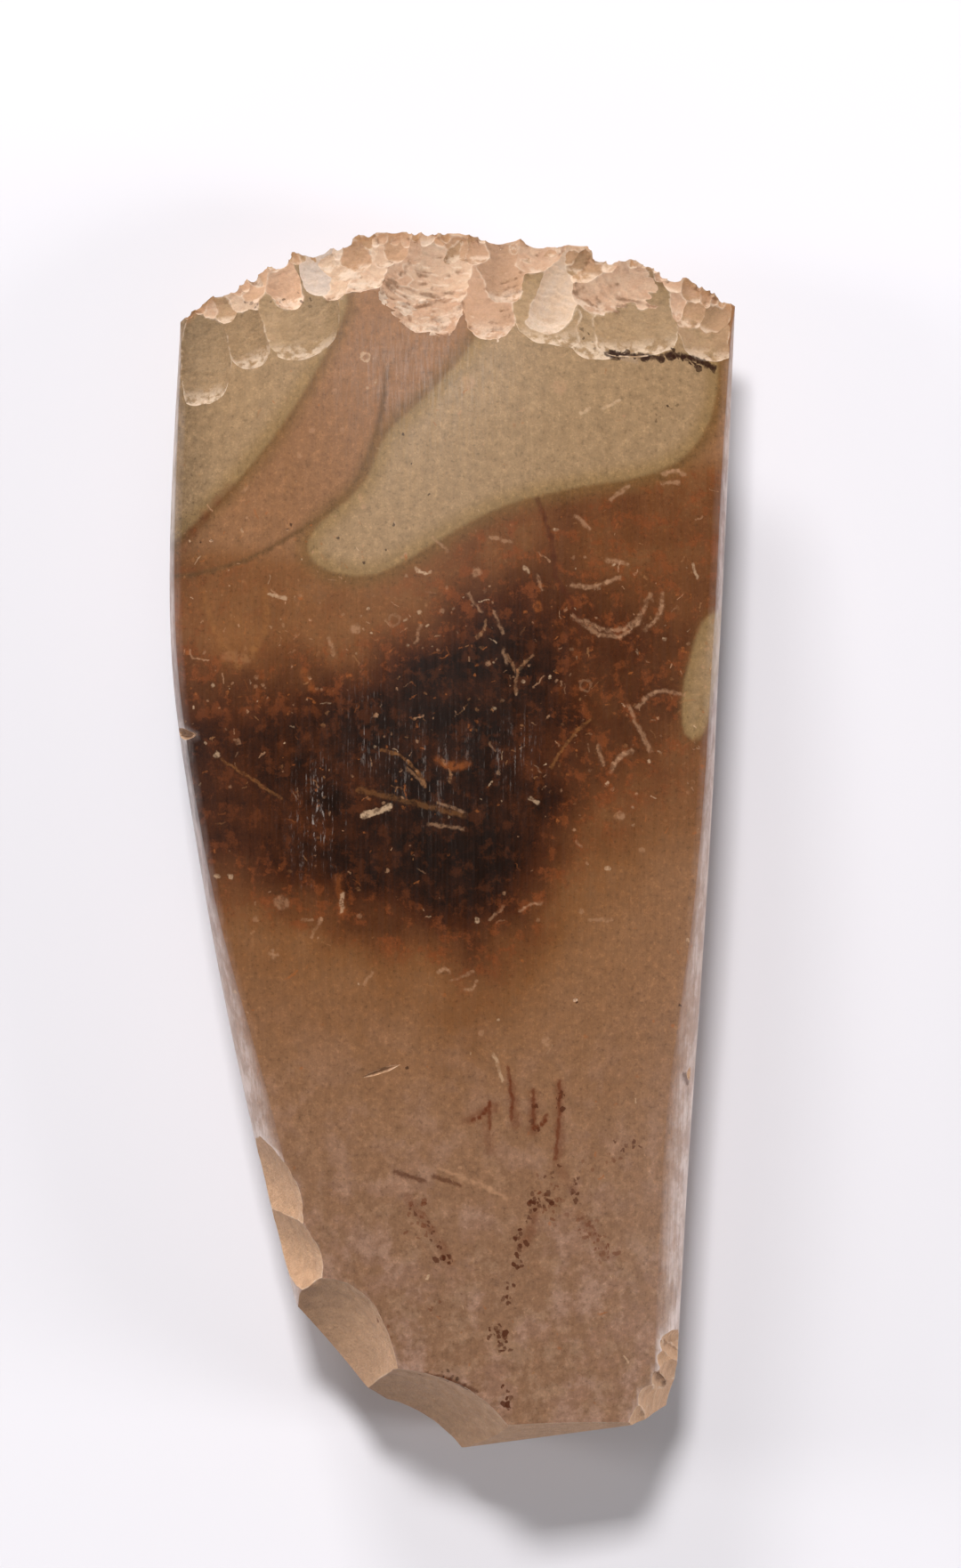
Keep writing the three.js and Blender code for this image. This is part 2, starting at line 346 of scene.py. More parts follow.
    def edge_row(self, ring: int, half_ring: int, face: int) -> np.ndarray:
        """Vertex numbers of the first row, where both faces share the cutting edge.

        Args:
            ring: vertices in a ring.
            half_ring: vertices in one face and one side.
            face: columns in a face.

        Returns:
            One vertex number for each column.
        """
        step = np.arange(ring)
        along = step % half_ring
        front = np.where(along <= face, along, face)
        back = np.where(along <= face, face - along, 0)
        return np.where(step < half_ring, front, back)


@dataclass(frozen=True)
class Flake:
    """One flake scar: a shallow bowl below the line from the struck point to the far end. Sizes in mm."""

    start: tuple[float, float, float]
    end: tuple[float, float, float]
    out: tuple[float, float, float]
    width: float
    dip: float
    proud: float
    working: Working = Working.EDGE_SCAR
    front: int = 0
    seed: int = 0
    rough: float = 1.0
    far_power: float = 2.0
    skew: float = 0.0
    side_power: float = 2.0
    tone: float = 0.5
    first_seed: int = 1000

    def axes(self) -> tuple[np.ndarray, np.ndarray, np.ndarray]:
        """The bowl's own directions.

        Returns:
            Along the blow, across it, and out of the stone, each of length one.
        """
        u = unit(np.subtract(self.end, self.start))
        out = np.asarray(self.out, float)
        n = unit(out - out.dot(u) * u)
        return u, np.cross(n, u), n

    def length(self) -> float:
        """Distance from the struck point to the far end."""
        return float(np.linalg.norm(np.subtract(self.end, self.start)))

    def floor(self) -> np.ndarray:
        """Deepest point of the bowl."""
        return (np.asarray(self.start) + np.asarray(self.end)) / 2 - self.dip * self.axes()[2]

    def frame(self) -> tuple[float, ...]:
        """Struck point, the way along divided by the length, and the way across divided by half the width."""
        u, v, _ = self.axes()
        return (*self.start, *(u / self.length()), *(v / (self.width / 2)))

    def radii(self) -> tuple[float, float]:
        """How roundly the bowl curves: the square of its span over eight times its depth.

        Returns:
            Radius along the blow and across it.
        """
        along = self.length() ** 2 / (8 * self.dip)
        across = self.width**2 / (8 * (self.dip + self.proud))
        return along, across

    def height_over(self, x: float, y: float, side: int) -> float:
        """Height of the bowl over a place in plan, measured out of the given face.

        Args:
            x: place across.
            y: place along.
            side: 1 for the front, -1 for the back.

        Returns:
            The lower of the two crossings of the upright line with the bowl, or infinity.
        """
        mirror = np.array([1.0, 1.0, float(side)])
        u, v, n = (axis * mirror for axis in self.axes())
        low = np.array([x, y, 0.0]) - self.floor() * mirror
        along, across = self.radii()
        a = -(u[2] ** 2 / along + v[2] ** 2 / across) / 2
        b = n[2] - u[2] * low.dot(u) / along - v[2] * low.dot(v) / across
        c = low.dot(n) - low.dot(u) ** 2 / (2 * along) - low.dot(v) ** 2 / (2 * across)
        root = b * b - 4 * a * c
        if root < 0:
            return math.inf
        if abs(a) < 1e-9:
            return -c / b
        return min((-b + math.sqrt(root)) / (2 * a), (-b - math.sqrt(root)) / (2 * a))

    def bowl(self, u: np.ndarray, v: np.ndarray) -> np.ndarray:
        """Height of the bowl above its floor, as a sum.

        Its parts are a power of the place along, higher toward the far end so that the scar ends in a step,
        and slanting where the scar is skewed; a power of the place across; wavering ripples and longer
        swells round the struck point; fine ridges that fan out from it; and a slight twist.

        Args:
            u: place along the blow from the middle.
            v: place across it.

        Returns:
            Height out of the stone.
        """
        chance = np.random.default_rng(self.first_seed + self.seed)
        ripple_height, fan_height, swell_height, full_length = 0.05, 0.045, 0.08, 7
        length = self.length()
        share_u = 2 * (u + self.skew * v) / length
        sides = (self.dip + self.proud) * np.abs(2 * v / self.width) ** self.side_power
        hollow = self.dip * np.where(u < 0, share_u**2, np.abs(share_u) ** self.far_power)
        far = np.hypot(u + length / 2, v)
        share = np.clip(far / length, 0.15, 1.2)
        wave = 0.20 * math.sqrt(length) + 0.45
        turns = chance.uniform(0, 2 * np.pi, 8)
        warp = 1.6 * np.sin(v / self.width * 6 + turns[0]) + 1.2 * np.sin(u * 0.9 + v * 1.6 + turns[1])
        warp += 0.8 * np.sin(v * 2.9 - u * 1.1 + turns[2])
        patchy = 0.5 + 0.5 * np.sin(v * 1.7 + 0.8 * np.sin(u * 1.5 + turns[4]) + turns[5])
        ripple = np.sin(2 * np.pi * far / wave + warp + turns[3]) * (0.25 + 0.75 * patchy)
        ripple += 0.5 * np.sin(2 * np.pi * far / wave * 1.83 + 1.6 * warp + turns[6]) * (1 - 0.7 * patchy)
        turn = np.arctan2(v, u + length / 2 + 0.35 * length)
        fan = np.zeros_like(u)
        for _ in range(4):
            fan += np.sin(chance.uniform(9, 34) * turn + chance.uniform(0, 6.3)) * chance.uniform(0.4, 1.0)
        twist = chance.uniform(-0.3, 0.3) * v * (0.5 + u / length)
        size = min(1.0, length / full_length)
        swell = np.sin(2 * np.pi * far / (2.6 * wave) + warp * 0.5 + turns[7]) * share
        fine = self.rough * share * (ripple_height * ripple + fan_height * fan)
        relief = size * (fine + swell_height * swell)
        return hollow + sides + relief + twist

    def cutter(self, spacing: float) -> tuple[np.ndarray, list]:
        """The stone the blow took away: the bowl as a grid of u and v, walled and lidded above the surface.

        Args:
            spacing: distance between grid lines.

        Returns:
            Vertices (n, 3) in mm and faces.
        """
        length, deep = self.length(), self.dip + self.proud
        # Rise of the bowl past its sides and its ends, most reach past an end, and room below the lid.
        side_rise, end_rise, end_reach, lid_room = 8.0, 1.0, 2.5, 3.0
        fewest, most = 9, 64
        half_v = self.width / 2 * ((deep + side_rise) / deep) ** (1 / self.side_power)
        half_u = min(length / 2 * math.sqrt((self.dip + end_rise) / self.dip), length / 2 + end_reach)
        half_u += abs(self.skew) * self.width / 2
        count_u, count_v = (int(np.clip(2 * half / spacing, fewest, most)) for half in (half_u, half_v))
        line_u, line_v = np.linspace(-half_u, half_u, count_u), np.linspace(-half_v, half_v, count_v)
        u, v = np.meshgrid(line_u, line_v, indexing="ij")
        w = self.bowl(u, v)
        axis_u, axis_v, axis_n = self.axes()
        low = np.stack([u, v, w], -1).reshape(-1, 3)
        number = np.arange(count_u * count_v).reshape(count_u, count_v)
        border = np.concatenate([number[:-1, 0], number[-1, :-1], number[:0:-1, -1], number[0, :0:-1]])
        lid = low[border].copy()
        lid[:, 2] = deep + lid_room + w.max()
        local = np.vstack([low, lid])
        points = self.floor() + local @ np.stack([axis_u, axis_v, axis_n])
        a, b, c, d = number[:-1, :-1], number[:-1, 1:], number[1:, 1:], number[1:, :-1]
        faces = np.stack([a, b, c, d], -1).reshape(-1, 4).tolist()
        top = len(low) + np.arange(len(border))
        wall = np.stack([border, np.roll(border, -1), np.roll(top, -1), top], -1)
        faces += wall.tolist()
        faces.append(top.tolist())
        return points, faces


@dataclass
class FlakedEdge:
    """The battered cutting edge: long thin scars, short steep retouch on them, and the plainer back.

    Sizes in mm. Each front row is: place across, reach, sideways lean, width, hollow, bite out of the edge,
    and tilt.
    """

    body: GroundBody
    front_rows: Table = (
        (-29.6, 11.6, 1.2, 6.2, 0.6, 0.1, -0.1),
        (-27.4, 9.2, 3.3, 4, 0.5, 0.05, 0.12),
        (-20.2, 12.6, 1.6, 9.6, 0.5, 0, -0.05),
        (-8.5, 6.4, 0.3, 8.4, 0.35, 0, 0.05),
        (-3.8, 11, 4.6, 10.5, 0.4, 0, -0.05),
        (3.9, 13, 0.8, 7.4, 0.35, 0, 0.06),
        (12.2, 13.2, 0.8, 13, 0.35, 0, -0.03),
        (19, 12.6, 0.2, 9.5, 0.35, 0, 0.05),
        (24.2, 10.4, 0.7, 12, 0.4, 0, -0.04),
        (29.6, 8.8, 0.2, 6.4, 0.35, 0.05, 0.08),
        (-24.4, 3.7, 0.8, 6, 0.4, 0.05, -0.1),
        (-21, 5.2, 0.6, 4.6, 0.4, 0, 0.12),
        (-15.6, 6.8, -0.7, 5.4, 0.6, 0.9, 0.05),
        (-11.9, 7.8, -2.7, 4, 0.4, 0.15, -0.12),
        (-10.2, 6, 0.3, 3.4, 0.35, 0.1, 0.12),
        (-7.2, 4, 0.2, 4.2, 0.4, 0.05, -0.08),
        (-0.7, 9.2, -1.1, 8.8, 0.6, 0.2, 0.06),
        (6.2, 7.8, 1.4, 6, 0.55, 1.4, -0.1),
        (10.6, 4.2, 0, 8.8, 0.5, 0.8, 0.05),
        (14.6, 10.8, -1.6, 5.2, 0.5, 0.6, 0),
        (16.8, 4.6, 0.6, 3.6, 0.4, 0.05, 0.1),
        (22.6, 6.9, -1.4, 10, 0.55, 0.1, -0.08),
        (27.1, 4.9, -0.4, 3, 0.35, 0, 0.12),
        (29.3, 4.7, -0.7, 3.2, 0.35, 0.05, -0.1),
        (31.9, 4.2, -1.6, 3.4, 0.4, 0.2, 0.12),
    )
    # Each front scar: how strongly it is rippled, power of its far end, slant of that end, power of its
    # sides, and tone.
    front_grain: Table = (
        (0.6, 6, 0.1, 3, 0.2), (0.4, 5, 0, 2.5, 0.12), (0.8, 7, 0.34, 3.2, 0.3), (1.4, 4, 0.2, 2.5, 0.8),
        (2.4, 4, 0.35, 2.2, 0.72), (1.6, 5, 0, 2.2, 0.68), (0.7, 7, 0, 3.5, 0.3), (0.6, 7, 0.05, 3, 0.28),
        (0.6, 7, -0.1, 3.5, 0.25), (0.6, 5, 0, 2.5, 0.4), (0.8, 3, 0.3, 3, 0.62), (0.8, 3, -0.1, 3, 0.7),
        (0.25, 3, 0.1, 2.2, 1.0), (1.2, 3, 0.4, 2.2, 0.8), (1.4, 3, -0.2, 2.5, 0.85), (1.2, 3, 0.2, 2.5, 0.8),
        (2.8, 3, 0.25, 2.2, 0.78), (1.6, 3, 0, 2, 0.62), (1.2, 4, 0.15, 2.5, 0.75), (0.5, 5, 0, 2.2, 0.86),
        (0.8, 3, 0, 2.2, 0.7), (2.2, 3, -0.15, 2.2, 0.75), (0.8, 3, 0, 2.5, 0.72), (0.8, 4, 0.1, 3, 0.5),
        (0.8, 3, 0, 2.5, 0.45),
    )
    # Each row of back scars: shift along the row, first place across, turn and start of its sway, reach,
    # width, bite, and how much the sway adds to the reach, the lean and the tilt.
    back_rows: Table = (
        (0.5, -29, 2.4, 0.7, 8.6, 8.4, 0.05, 2.2, 1.2, 0.06),
        (0.1, -28, 1.9, 2.1, 4.2, 4.8, 0.1, 0.9, 0.6, 0.08),
    )
    back_count: int = 8
    back_span: float = 60
    back_dip: float = 0.4
    retouch_count: int = 72
    retouch_from: float = -30.5
    retouch_span: float = 63.0
    retouch_seed: int = 11
    least_proud: float = 0.15
    proud_share: float = 0.8
    deepest: float = -2.0
    flakes: list[Flake] = field(default_factory=list)

    def height_left(self, x: float, y: float, side: int) -> float:
        """Height of the stone still left at a place.

        Args:
            x: place across.
            y: place along.
            side: 1 for the front face, -1 for the back.

        Returns:
            Height above the mid-plane, out of that face.
        """
        z = self.body.height_at(x, y)
        for flake in self.flakes:
            if flake.front == side:
                z = min(z, max(flake.height_over(x, y, side), self.deepest))
        return z

    def strike(
        self, row: tuple[float, ...], side: int, grain: tuple[float, ...] = (1.0, 2.5, 0.0, 2.0, 0.6)
    ) -> None:
        """Adds a flake struck from the cutting edge.

        Args:
            row: place across, reach, sideways lean, width, hollow, bite, tilt to one side.
            side: 1 for the front face, -1 for the back.
            grain: strength of its ripples, power of its far end, slant of that end, power of its sides, tone.
        """
        x, reach, lean, width, dip, bite, tilt = row
        y = float(self.body.edge_y(np.array(x)))
        end_x, end_y = x + lean, y - reach
        end_z = self.height_left(end_x, end_y, side)
        middle = self.height_left(x + lean / 2, y - reach / 2, side)
        proud = max(self.least_proud, (middle - (end_z - bite) / 2) * self.proud_share)
        self.flakes.append(Flake(
            start=(x, y, -bite * side),
            end=(end_x, end_y, end_z * side),
            out=(tilt, 0.5, float(side)),
            width=width,
            dip=dip,
            proud=proud,
            front=side,
            seed=len(self.flakes),
            rough=grain[0],
            far_power=grain[1],
            skew=grain[2],
            side_power=grain[3],
            tone=grain[4],
        ))

    def build(self) -> list[Flake]:
        """Strikes every flake off the cutting edge.

        Returns:
            The flakes, in the order they were struck.
        """
        for row, grain in zip(self.front_rows, self.front_grain):
            self.strike(row, 1, grain)
        chance = np.random.default_rng(self.retouch_seed)
        for k in chance.permutation(self.retouch_count):
            x = self.retouch_from + self.retouch_span * (k + chance.uniform(0.1, 0.9)) / self.retouch_count
            reach = chance.uniform(0.7, 2.2) + (1.6 if chance.uniform() > 0.75 else 0)
            width = reach * chance.uniform(0.6, 1.2) + 0.5
            bite = chance.uniform(0.0, 0.1)
            tilt = chance.uniform(-0.25, 0.25)
            row = (x, reach, chance.uniform(-0.6, 0.6), width, 0.14 + 0.08 * reach, bite, tilt)
            grain = (1.0, 3.0, chance.uniform(-0.5, 0.5), 2.2, chance.uniform(0.4, 0.9))
            self.strike(row, 1, grain)
        for shift, first, turn, phase, reach, width, bite, more, lean, tilt in self.back_rows:
            for i in range(self.back_count):
                x = first + self.back_span * ((i + shift) / self.back_count)
                sway = math.sin(turn * i + phase)
                row = (x, reach + more * sway, lean * sway, width + sway, self.back_dip, bite, tilt * sway)
                self.strike(row, -1)
        return self.flakes


@dataclass
class BrokenButt:
    """The broken butt: flat breaks, flakes off its left corner, and the chipped right corner. Sizes in mm."""

    body: GroundBody
    ridge_z: float = -2.0
    front_seed: int = 200
    back_seed: int = 220
    proud: float = 0.8
    roughness: float = 0.5
    flat_cuts: tuple = (
        ((-13.5, -59.3, 0), (-0.764, -0.645, 0)),
        ((-4.6, -67.2, 0), (-0.566, -0.824, 0)),
        ((23.7, -67.2, 7.0), (0.058, -0.966, 0.253)),
        ((1.35, -70.9, -3.0), (0.193, -0.979, -0.068)),
    )

    def front_flakes(self) -> list[Flake]:
        """Flakes seen from the front. Each row: struck point, far end in plan, outward, width, hollow.

        Returns:
            The flakes.
        """
        rows = (
            ((-14.2, -59.6, self.ridge_z), (-9.6, -52.6), (-0.5, -0.6, 0.6), 11.5, 0.8),
            ((-3.7, -66.7, self.ridge_z), (-0.4, -62.0), (-0.4, -0.8, 0.4), 15, 0.7),
            ((-21.3, -41.0, 0.0), (-17.2, -41.8), (-0.9, 0, 0.5), 9, 0.25),
            ((-19.6, -47.6, 0.0), (-15.0, -48.0), (-0.9, 0, 0.5), 8, 0.3),
            ((27.2, -64.5, -7.0), (24.4, -61.8), (0.82, -0.57, 0.12), 8, 0.4),
            ((28.9, -27.4, 1.5), (26.6, -27.4), (0.9, 0, 0.4), 6, 0.3),
        )
        return [self.flake(row, 1, seed) for seed, row in enumerate(rows, start=self.front_seed)]

    def back_flakes(self) -> list[Flake]:
        """The flakes that meet them from the back.

        Returns:
            The flakes.
        """
        rows = (
            ((-15.2, -57.6, self.ridge_z), (-12.2, -53.4), (-0.7, -0.6, -0.4), 12, 0.6),
            ((-3.7, -66.7, self.ridge_z), (-2.0, -63.2), (-0.5, -0.8, -0.3), 15, 0.6),
        )
        return [self.flake(row, -1, seed) for seed, row in enumerate(rows, start=self.back_seed)]

    def flake(self, row: tuple, side: int, seed: int) -> Flake:
        """One flake whose far end lies on a broad face.

        Args:
            row: struck point, far end in plan, outward, width, hollow.
            side: 1 for the front face, -1 for the back.
            seed: number that its ripples start from.

        Returns:
            The flake.
        """
        start, end, out, width, dip = row
        z = self.body.height_at(*end)
        return Flake(
            start=start,
            end=(end[0], end[1], z * side),
            out=out,
            width=width,
            dip=dip,
            proud=self.proud,
            working=Working.BUTT_SCAR,
            seed=seed,
            rough=self.roughness,
        )


def slab(place: tuple[float, float, float], outward: tuple[float, float, float]) -> tuple[np.ndarray, list]:
    """A big block whose one face is a flat cut.

    Args:
        place: a point on the cut, in mm.
        outward: direction of the stone that is removed.

    Returns:
        Vertices and faces.
    """
    n = unit(np.asarray(outward, float))
    helper = np.array([1.0, 0.0, 0.0]) if abs(n[0]) < 0.7 else np.array([0.0, 0.0, 1.0])
    u = unit(np.cross(helper, n))
    v = np.cross(n, u)
    size = 60.0
    corner = np.array([(a, b, c) for c in (0, 2) for a, b in ((-1, -1), (1, -1), (1, 1), (-1, 1))], float)
    points = np.asarray(place, float) + size * (corner @ np.stack([u, v, n]))
    faces = [[3, 2, 1, 0], [4, 5, 6, 7], [0, 1, 5, 4], [1, 2, 6, 5], [2, 3, 7, 6], [3, 0, 4, 7]]
    return points, faces


# Corners of the colour patches on the front face, in mm on the drawn plan. The border rounds each corner.
OLIVE_PATCH = (
    (3, 58), (-2.5, 51.5), (-8, 47), (-9.5, 41), (-17, 35.5), (-16, 31.5), (-9, 30), (-1, 35), (6, 39),
    (15, 41), (25, 42.5), (30.5, 48), (31.5, 58), (26, 65), (12, 67.5), (5, 63),
)
OLIVE_FLANK = ((-13.5, 58), (-20, 47), (-28, 38), (-37, 31), (-39, 64), (-22, 71), (-11, 65))
PINK_LOBE = (
    (-14, 59), (-7, 59), (-8, 48), (-11.5, 39.5), (-18, 35.5), (-25, 31.5), (-37, 30), (-29, 36.5), (-21, 46),
)
OLIVE_SLIVER = ((29.5, 27), (27.5, 21), (26.5, 15.5), (27, 11.5), (29.5, 12), (30.5, 18), (34, 26))


class Tone(Enum):
    """What a fossil or a stain is made of, as its place on the scale from black to chalk white."""

    BLACK = 0.0
    DARK_RUST = 0.07
    RUST = 0.15
    AMBER = 0.35
    TAN = 0.5
    GREY = 0.62
    PALE = 0.75
    CHALK = 0.95


@dataclass(frozen=True)
class Strokes:
    """Strokes of one look, in mm: each runs from start to end and bows to its left by the last number."""

    tone: Tone
    half_width: float
    cover: float
    softness: float
    runs: Table
    pieces: int = 4

    def rows(self) -> list[tuple]:
        """The strokes cut into straight pieces: the bow is a parabola, deepest at the middle of the run.

        Returns:
            Rows of start, end, half width, ring radius, cover, softness and tone.
        """
        made = []
        for start_x, start_y, end_x, end_y, bow in self.runs:
            share = np.linspace(0, 1, (self.pieces if bow else 1) + 1)
            run = np.array([end_x - start_x, end_y - start_y])
            aside = np.array([-run[1], run[0]]) / np.linalg.norm(run)
            path = np.array([start_x, start_y]) + share[:, None] * run
            path = path + (4 * bow * share * (1 - share))[:, None] * aside
            look = (self.half_width, 0.0, self.cover, self.softness, self.tone.value)
            made += [(*a, *b, *look) for a, b in zip(path, path[1:])]
        return made


@dataclass(frozen=True)
class Spots:
    """Round fossils of one size and look; with a ring radius they are hollow."""

    tone: Tone
    half_width: float
    cover: float
    softness: float
    places: Table
    ring: float = 0.0

    def rows(self) -> list[tuple]:
        """Each spot as a stroke that hardly moves."""
        look = (self.half_width, self.ring, self.cover, self.softness, self.tone.value)
        return [(x, y, x + 0.01, y, *look) for x, y in self.places]


@dataclass(frozen=True)
class Grains:
    """Stain grains of one look, strewn along lines: start, end and count of each line."""

    tone: Tone
    size: float
    cover: float
    spread: float
    lines: Table

    def rows(self, chance: np.random.Generator) -> list[tuple]:
        """Grains at random along each line and beside it, each drawn out a little its own way.

        Args:
            chance: the seeded generator.

        Returns:
            Rows of start, end, half width, ring radius, cover, softness and tone.
        """
        made = []
        for start_x, start_y, end_x, end_y, count in self.lines:
            for _ in range(count):
                share = chance.uniform()
                x = start_x + (end_x - start_x) * share + chance.normal(0, self.spread)
                y = start_y + (end_y - start_y) * share + chance.normal(0, self.spread)
                half = self.size * chance.uniform(0.35, 1.0)
                run_x, run_y = chance.uniform(-1.2, 1.2, 2) * half
                cover = self.cover * chance.uniform(0.6, 1.1)
                made.append((x, y, x + run_x + 0.01, y + run_y, half, 0.0, cover, 0.07, self.tone.value))
        return made


SEA_MAT = (
    Strokes(Tone.PALE, 0.13, 0.42, 0.28, (
        (14, 26, 23, 28.5, -3.8), (15.5, 25.5, 21.5, 25.5, -1.2), (22.5, 24.5, 24.5, 28.5, -0.6),
        (14, 29.5, 19.5, 30.5, -0.5), (18, 32.5, 20.5, 32, 0), (20.5, 15.5, 23, 10.5, 0),
        (21.5, 15.5, 26.5, 17, 1), (18.5, 8, 21, 10.5, 0.5), (17, 11, 17.5, 9, 0), (14.5, 37.5, 16, 36, 0),
        (18.5, 39.5, 20.5, 41, 0), (24.5, 42.5, 27, 42.5, 0.4), (24.5, 41.5, 26.5, 41.5, 0),
    )),
    Strokes(Tone.PALE, 0.11, 0.38, 0.24, (
        (2, 28.5, 3.5, 26.5, 0), (5, 26.5, 6, 24, 0), (6, 22, 6.5, 20.5, 0), (10, 30.5, 10.5, 29, 0),
        (4.5, 35, 7, 34.5, 0), (-2, 35, -0.5, 33.5, 0), (-3.5, 25, -4, 23, 0), (-14, 23.5, -13.5, 21.5, 0),
        (-1.5, 4.5, 1.5, 3.5, 0), (-2.5, 2, 1.5, 1.5, 0), (-10.5, 40, -10, 38.5, 0),
        (-24, 40.5, -23.5, 41, 0), (-30.5, 12, -29.5, 12.5, 0),
    )),
    Strokes(Tone.PALE, 0.11, 0.34, 0.22, (
        (-15, -9, -16, -11, 0), (-17, -9, -16, -9, 0), (-20.5, -12.5, -20.5, -13.5, 0),
        (-21, -13, -20, -13, 0), (4.5, -9, 6, -7.5, 0), (8, -8, 10.5, -7, 0.3), (16, -9, 18.5, -9, 0),
        (0, -16, 2.5, -15, 0), (-1.5, -15, 0, -15, 0.4), (1.5, -17, 3, -16, -0.5), (-10, -16.5, -9, -15, 0),
        (14.5, 0, 15, -0.5, 0),
    )),
    Strokes(Tone.CHALK, 0.14, 0.46, 0.2, (
        (8.5, 31.5, 9, 31, 0), (-4, 31.5, -2.5, 31, -0.4), (-21, 28.5, -19, 28, 0), (15, 49.5, 16, 50, 0),
        (17.5, 50, 19.5, 51, 0), (9, 5, 10, 4.5, 0), (5, -24.5, 6, -27.5, 0), (28, 32, 28.5, 30.5, 0),
        (-12.5, -6, -12.5, -8, 0),
    )),
    Strokes(Tone.CHALK, 0.3, 0.68, 0.16, ((-10, 3, -7, 4, 0),)),
    Strokes(Tone.TAN, 0.13, 0.38, 0.18, (
        (11.5, 8.5, 16, 14, 0.4), (-8, 10.5, -3, 6.5, 1), (-26.5, 9.5, -19.5, 5, 0),
    )),
    Strokes(Tone.TAN, 0.2, 0.3, 0.35, ((-10.5, 6, 1.5, 3, 0),)),
    Strokes(Tone.TAN, 0.16, 0.34, 0.6, ((-28.5, 29, -24.5, 20.5, -0.8), (-24.5, 20.5, -21.5, 29, -1.6))),
    Strokes(Tone.GREY, 0.13, 0.38, 0.18, (
        (3, 23.5, 4, 25.5, -0.4), (7.5, 17, 9.5, 21.5, 0.8), (7.5, 19.5, 6.5, 21.5, 0), (-5, 8.5, -3, 6.5, 0),
        (-1, 9.5, 0, 7, 0.3),
    )),
    Strokes(Tone.GREY, 0.36, 0.24, 0.6, ((-26, 21.5, -23.5, 21, 0),)),
)
ROUND_FOSSILS = (
    Spots(Tone.PALE, 0.7, 0.32, 0.4, ((12.5, 52.5), (-19.5, -7), (2, 53))),
    Spots(Tone.PALE, 0.45, 0.42, 0.3, ((3, 31), (-11, 24.5), (11, -23), (19.5, 3))),
    Spots(Tone.CHALK, 0.26, 0.5, 0.15, ((-27, 10), (-27, -4), (-25.5, -4), (18, -3), (3, -9))),
    Spots(Tone.PALE, 0.26, 0.3, 0.18, (
        (-24.5, 11.5), (-12.5, 47.5), (-16, 47.5), (-17.5, 44.5), (-13.5, 52), (15, -8), (-22.5, -9),
        (-10.5, -8.5), (3.5, -22), (22, -1), (5.5, 8), (-1, 26.5),
    )),
    Spots(Tone.TAN, 2.6, 0.26, 1.5, ((-25, 23),)),
    Spots(Tone.AMBER, 0.5, 0.42, 0.35, ((10, 27),)),
    Spots(Tone.CHALK, 0.12, 0.48, 0.12, ((-10, 56),), ring=0.47),
    Spots(Tone.PALE, 0.1, 0.2, 0.12, ((-6.5, 25.5), (15.5, 18)), ring=0.62),
    Spots(Tone.BLACK, 0.13, 0.75, 0.08, (
        (-5.5, 47), (-4.5, 43.5), (-2.5, 40), (-6.5, 36.5), (-7.5, 33.5), (-10, 32), (-13, 35), (-18.5, 36.5),
        (-29, 34.5), (14.5, -18.5), (-5, -26), (26.5, -19),
    )),
)
STAIN_RUNS = (
    Strokes(Tone.RUST, 0.12, 0.7, 0.3, (
        (12.5, -27.5, 12.5, -31.5, 0), (12.5, -32, 12, -36.5, 0), (9.5, -28.5, 9.5, -33, 0),
        (6.5, -26, 7, -32, 0.2), (9.5, -33, 11, -31.5, -0.4), (2.5, -32, 4.5, -30, -0.4),
        (4.5, -30, 4.5, -33, 0),
    )),
    Strokes(Tone.RUST, 0.3, 0.42, 0.8, (
        (12.5, -28, 12.5, -36, 0), (9.5, -29, 9.5, -33.5, 0), (7, -28, 7.5, -32.5, 0), (2, -32, 5, -30.5, 0),
    )),
    Strokes(Tone.RUST, 0.3, 0.26, 0.8, (
        (4, -32.5, 4.5, -35.5, 0), (12, -37, 14, -40, 0), (-31, 34, -25.5, 41, 0.3), (10, -42, 8, -47, 0.3),
        (-5, -41, 0, -48.5, 0.2), (15, -43, 18, -48, 0),
    )),
    Strokes(Tone.DARK_RUST, 0.16, 0.5, 0.35, ((10, 39.5, 12, 30.5, 0.5), (12, 30.5, 15, 24, 0.4))),
    Strokes(Tone.AMBER, 0.25, 0.28, 0.6, (
        (-1.5, 9.5, 2, 9, -0.6), (-13, -4, -12.5, -8, 0), (-17, 19.5, -16, 17.5, 0),
    )),
    Strokes(Tone.DARK_RUST, 0.14, 0.62, 0.35, (
        (-6.5, -38, -3, -39, 0), (-3.5, -61.5, 3, -63.5, 0.5), (27, -27, 27.5, -28, 0),
        (-2, -38.5, 1, -39.5, 0),
    )),
    Strokes(Tone.BLACK, 0.22, 0.8, 0.25, ((18, 56.5, 24.5, 56, 0.1), (25, 56.5, 30.5, 55, 0.4))),
    Strokes(Tone.PALE, 0.14, 0.5, 0.3, ((-1.5, -37.5, 6.5, -41, 0.2),)),
)
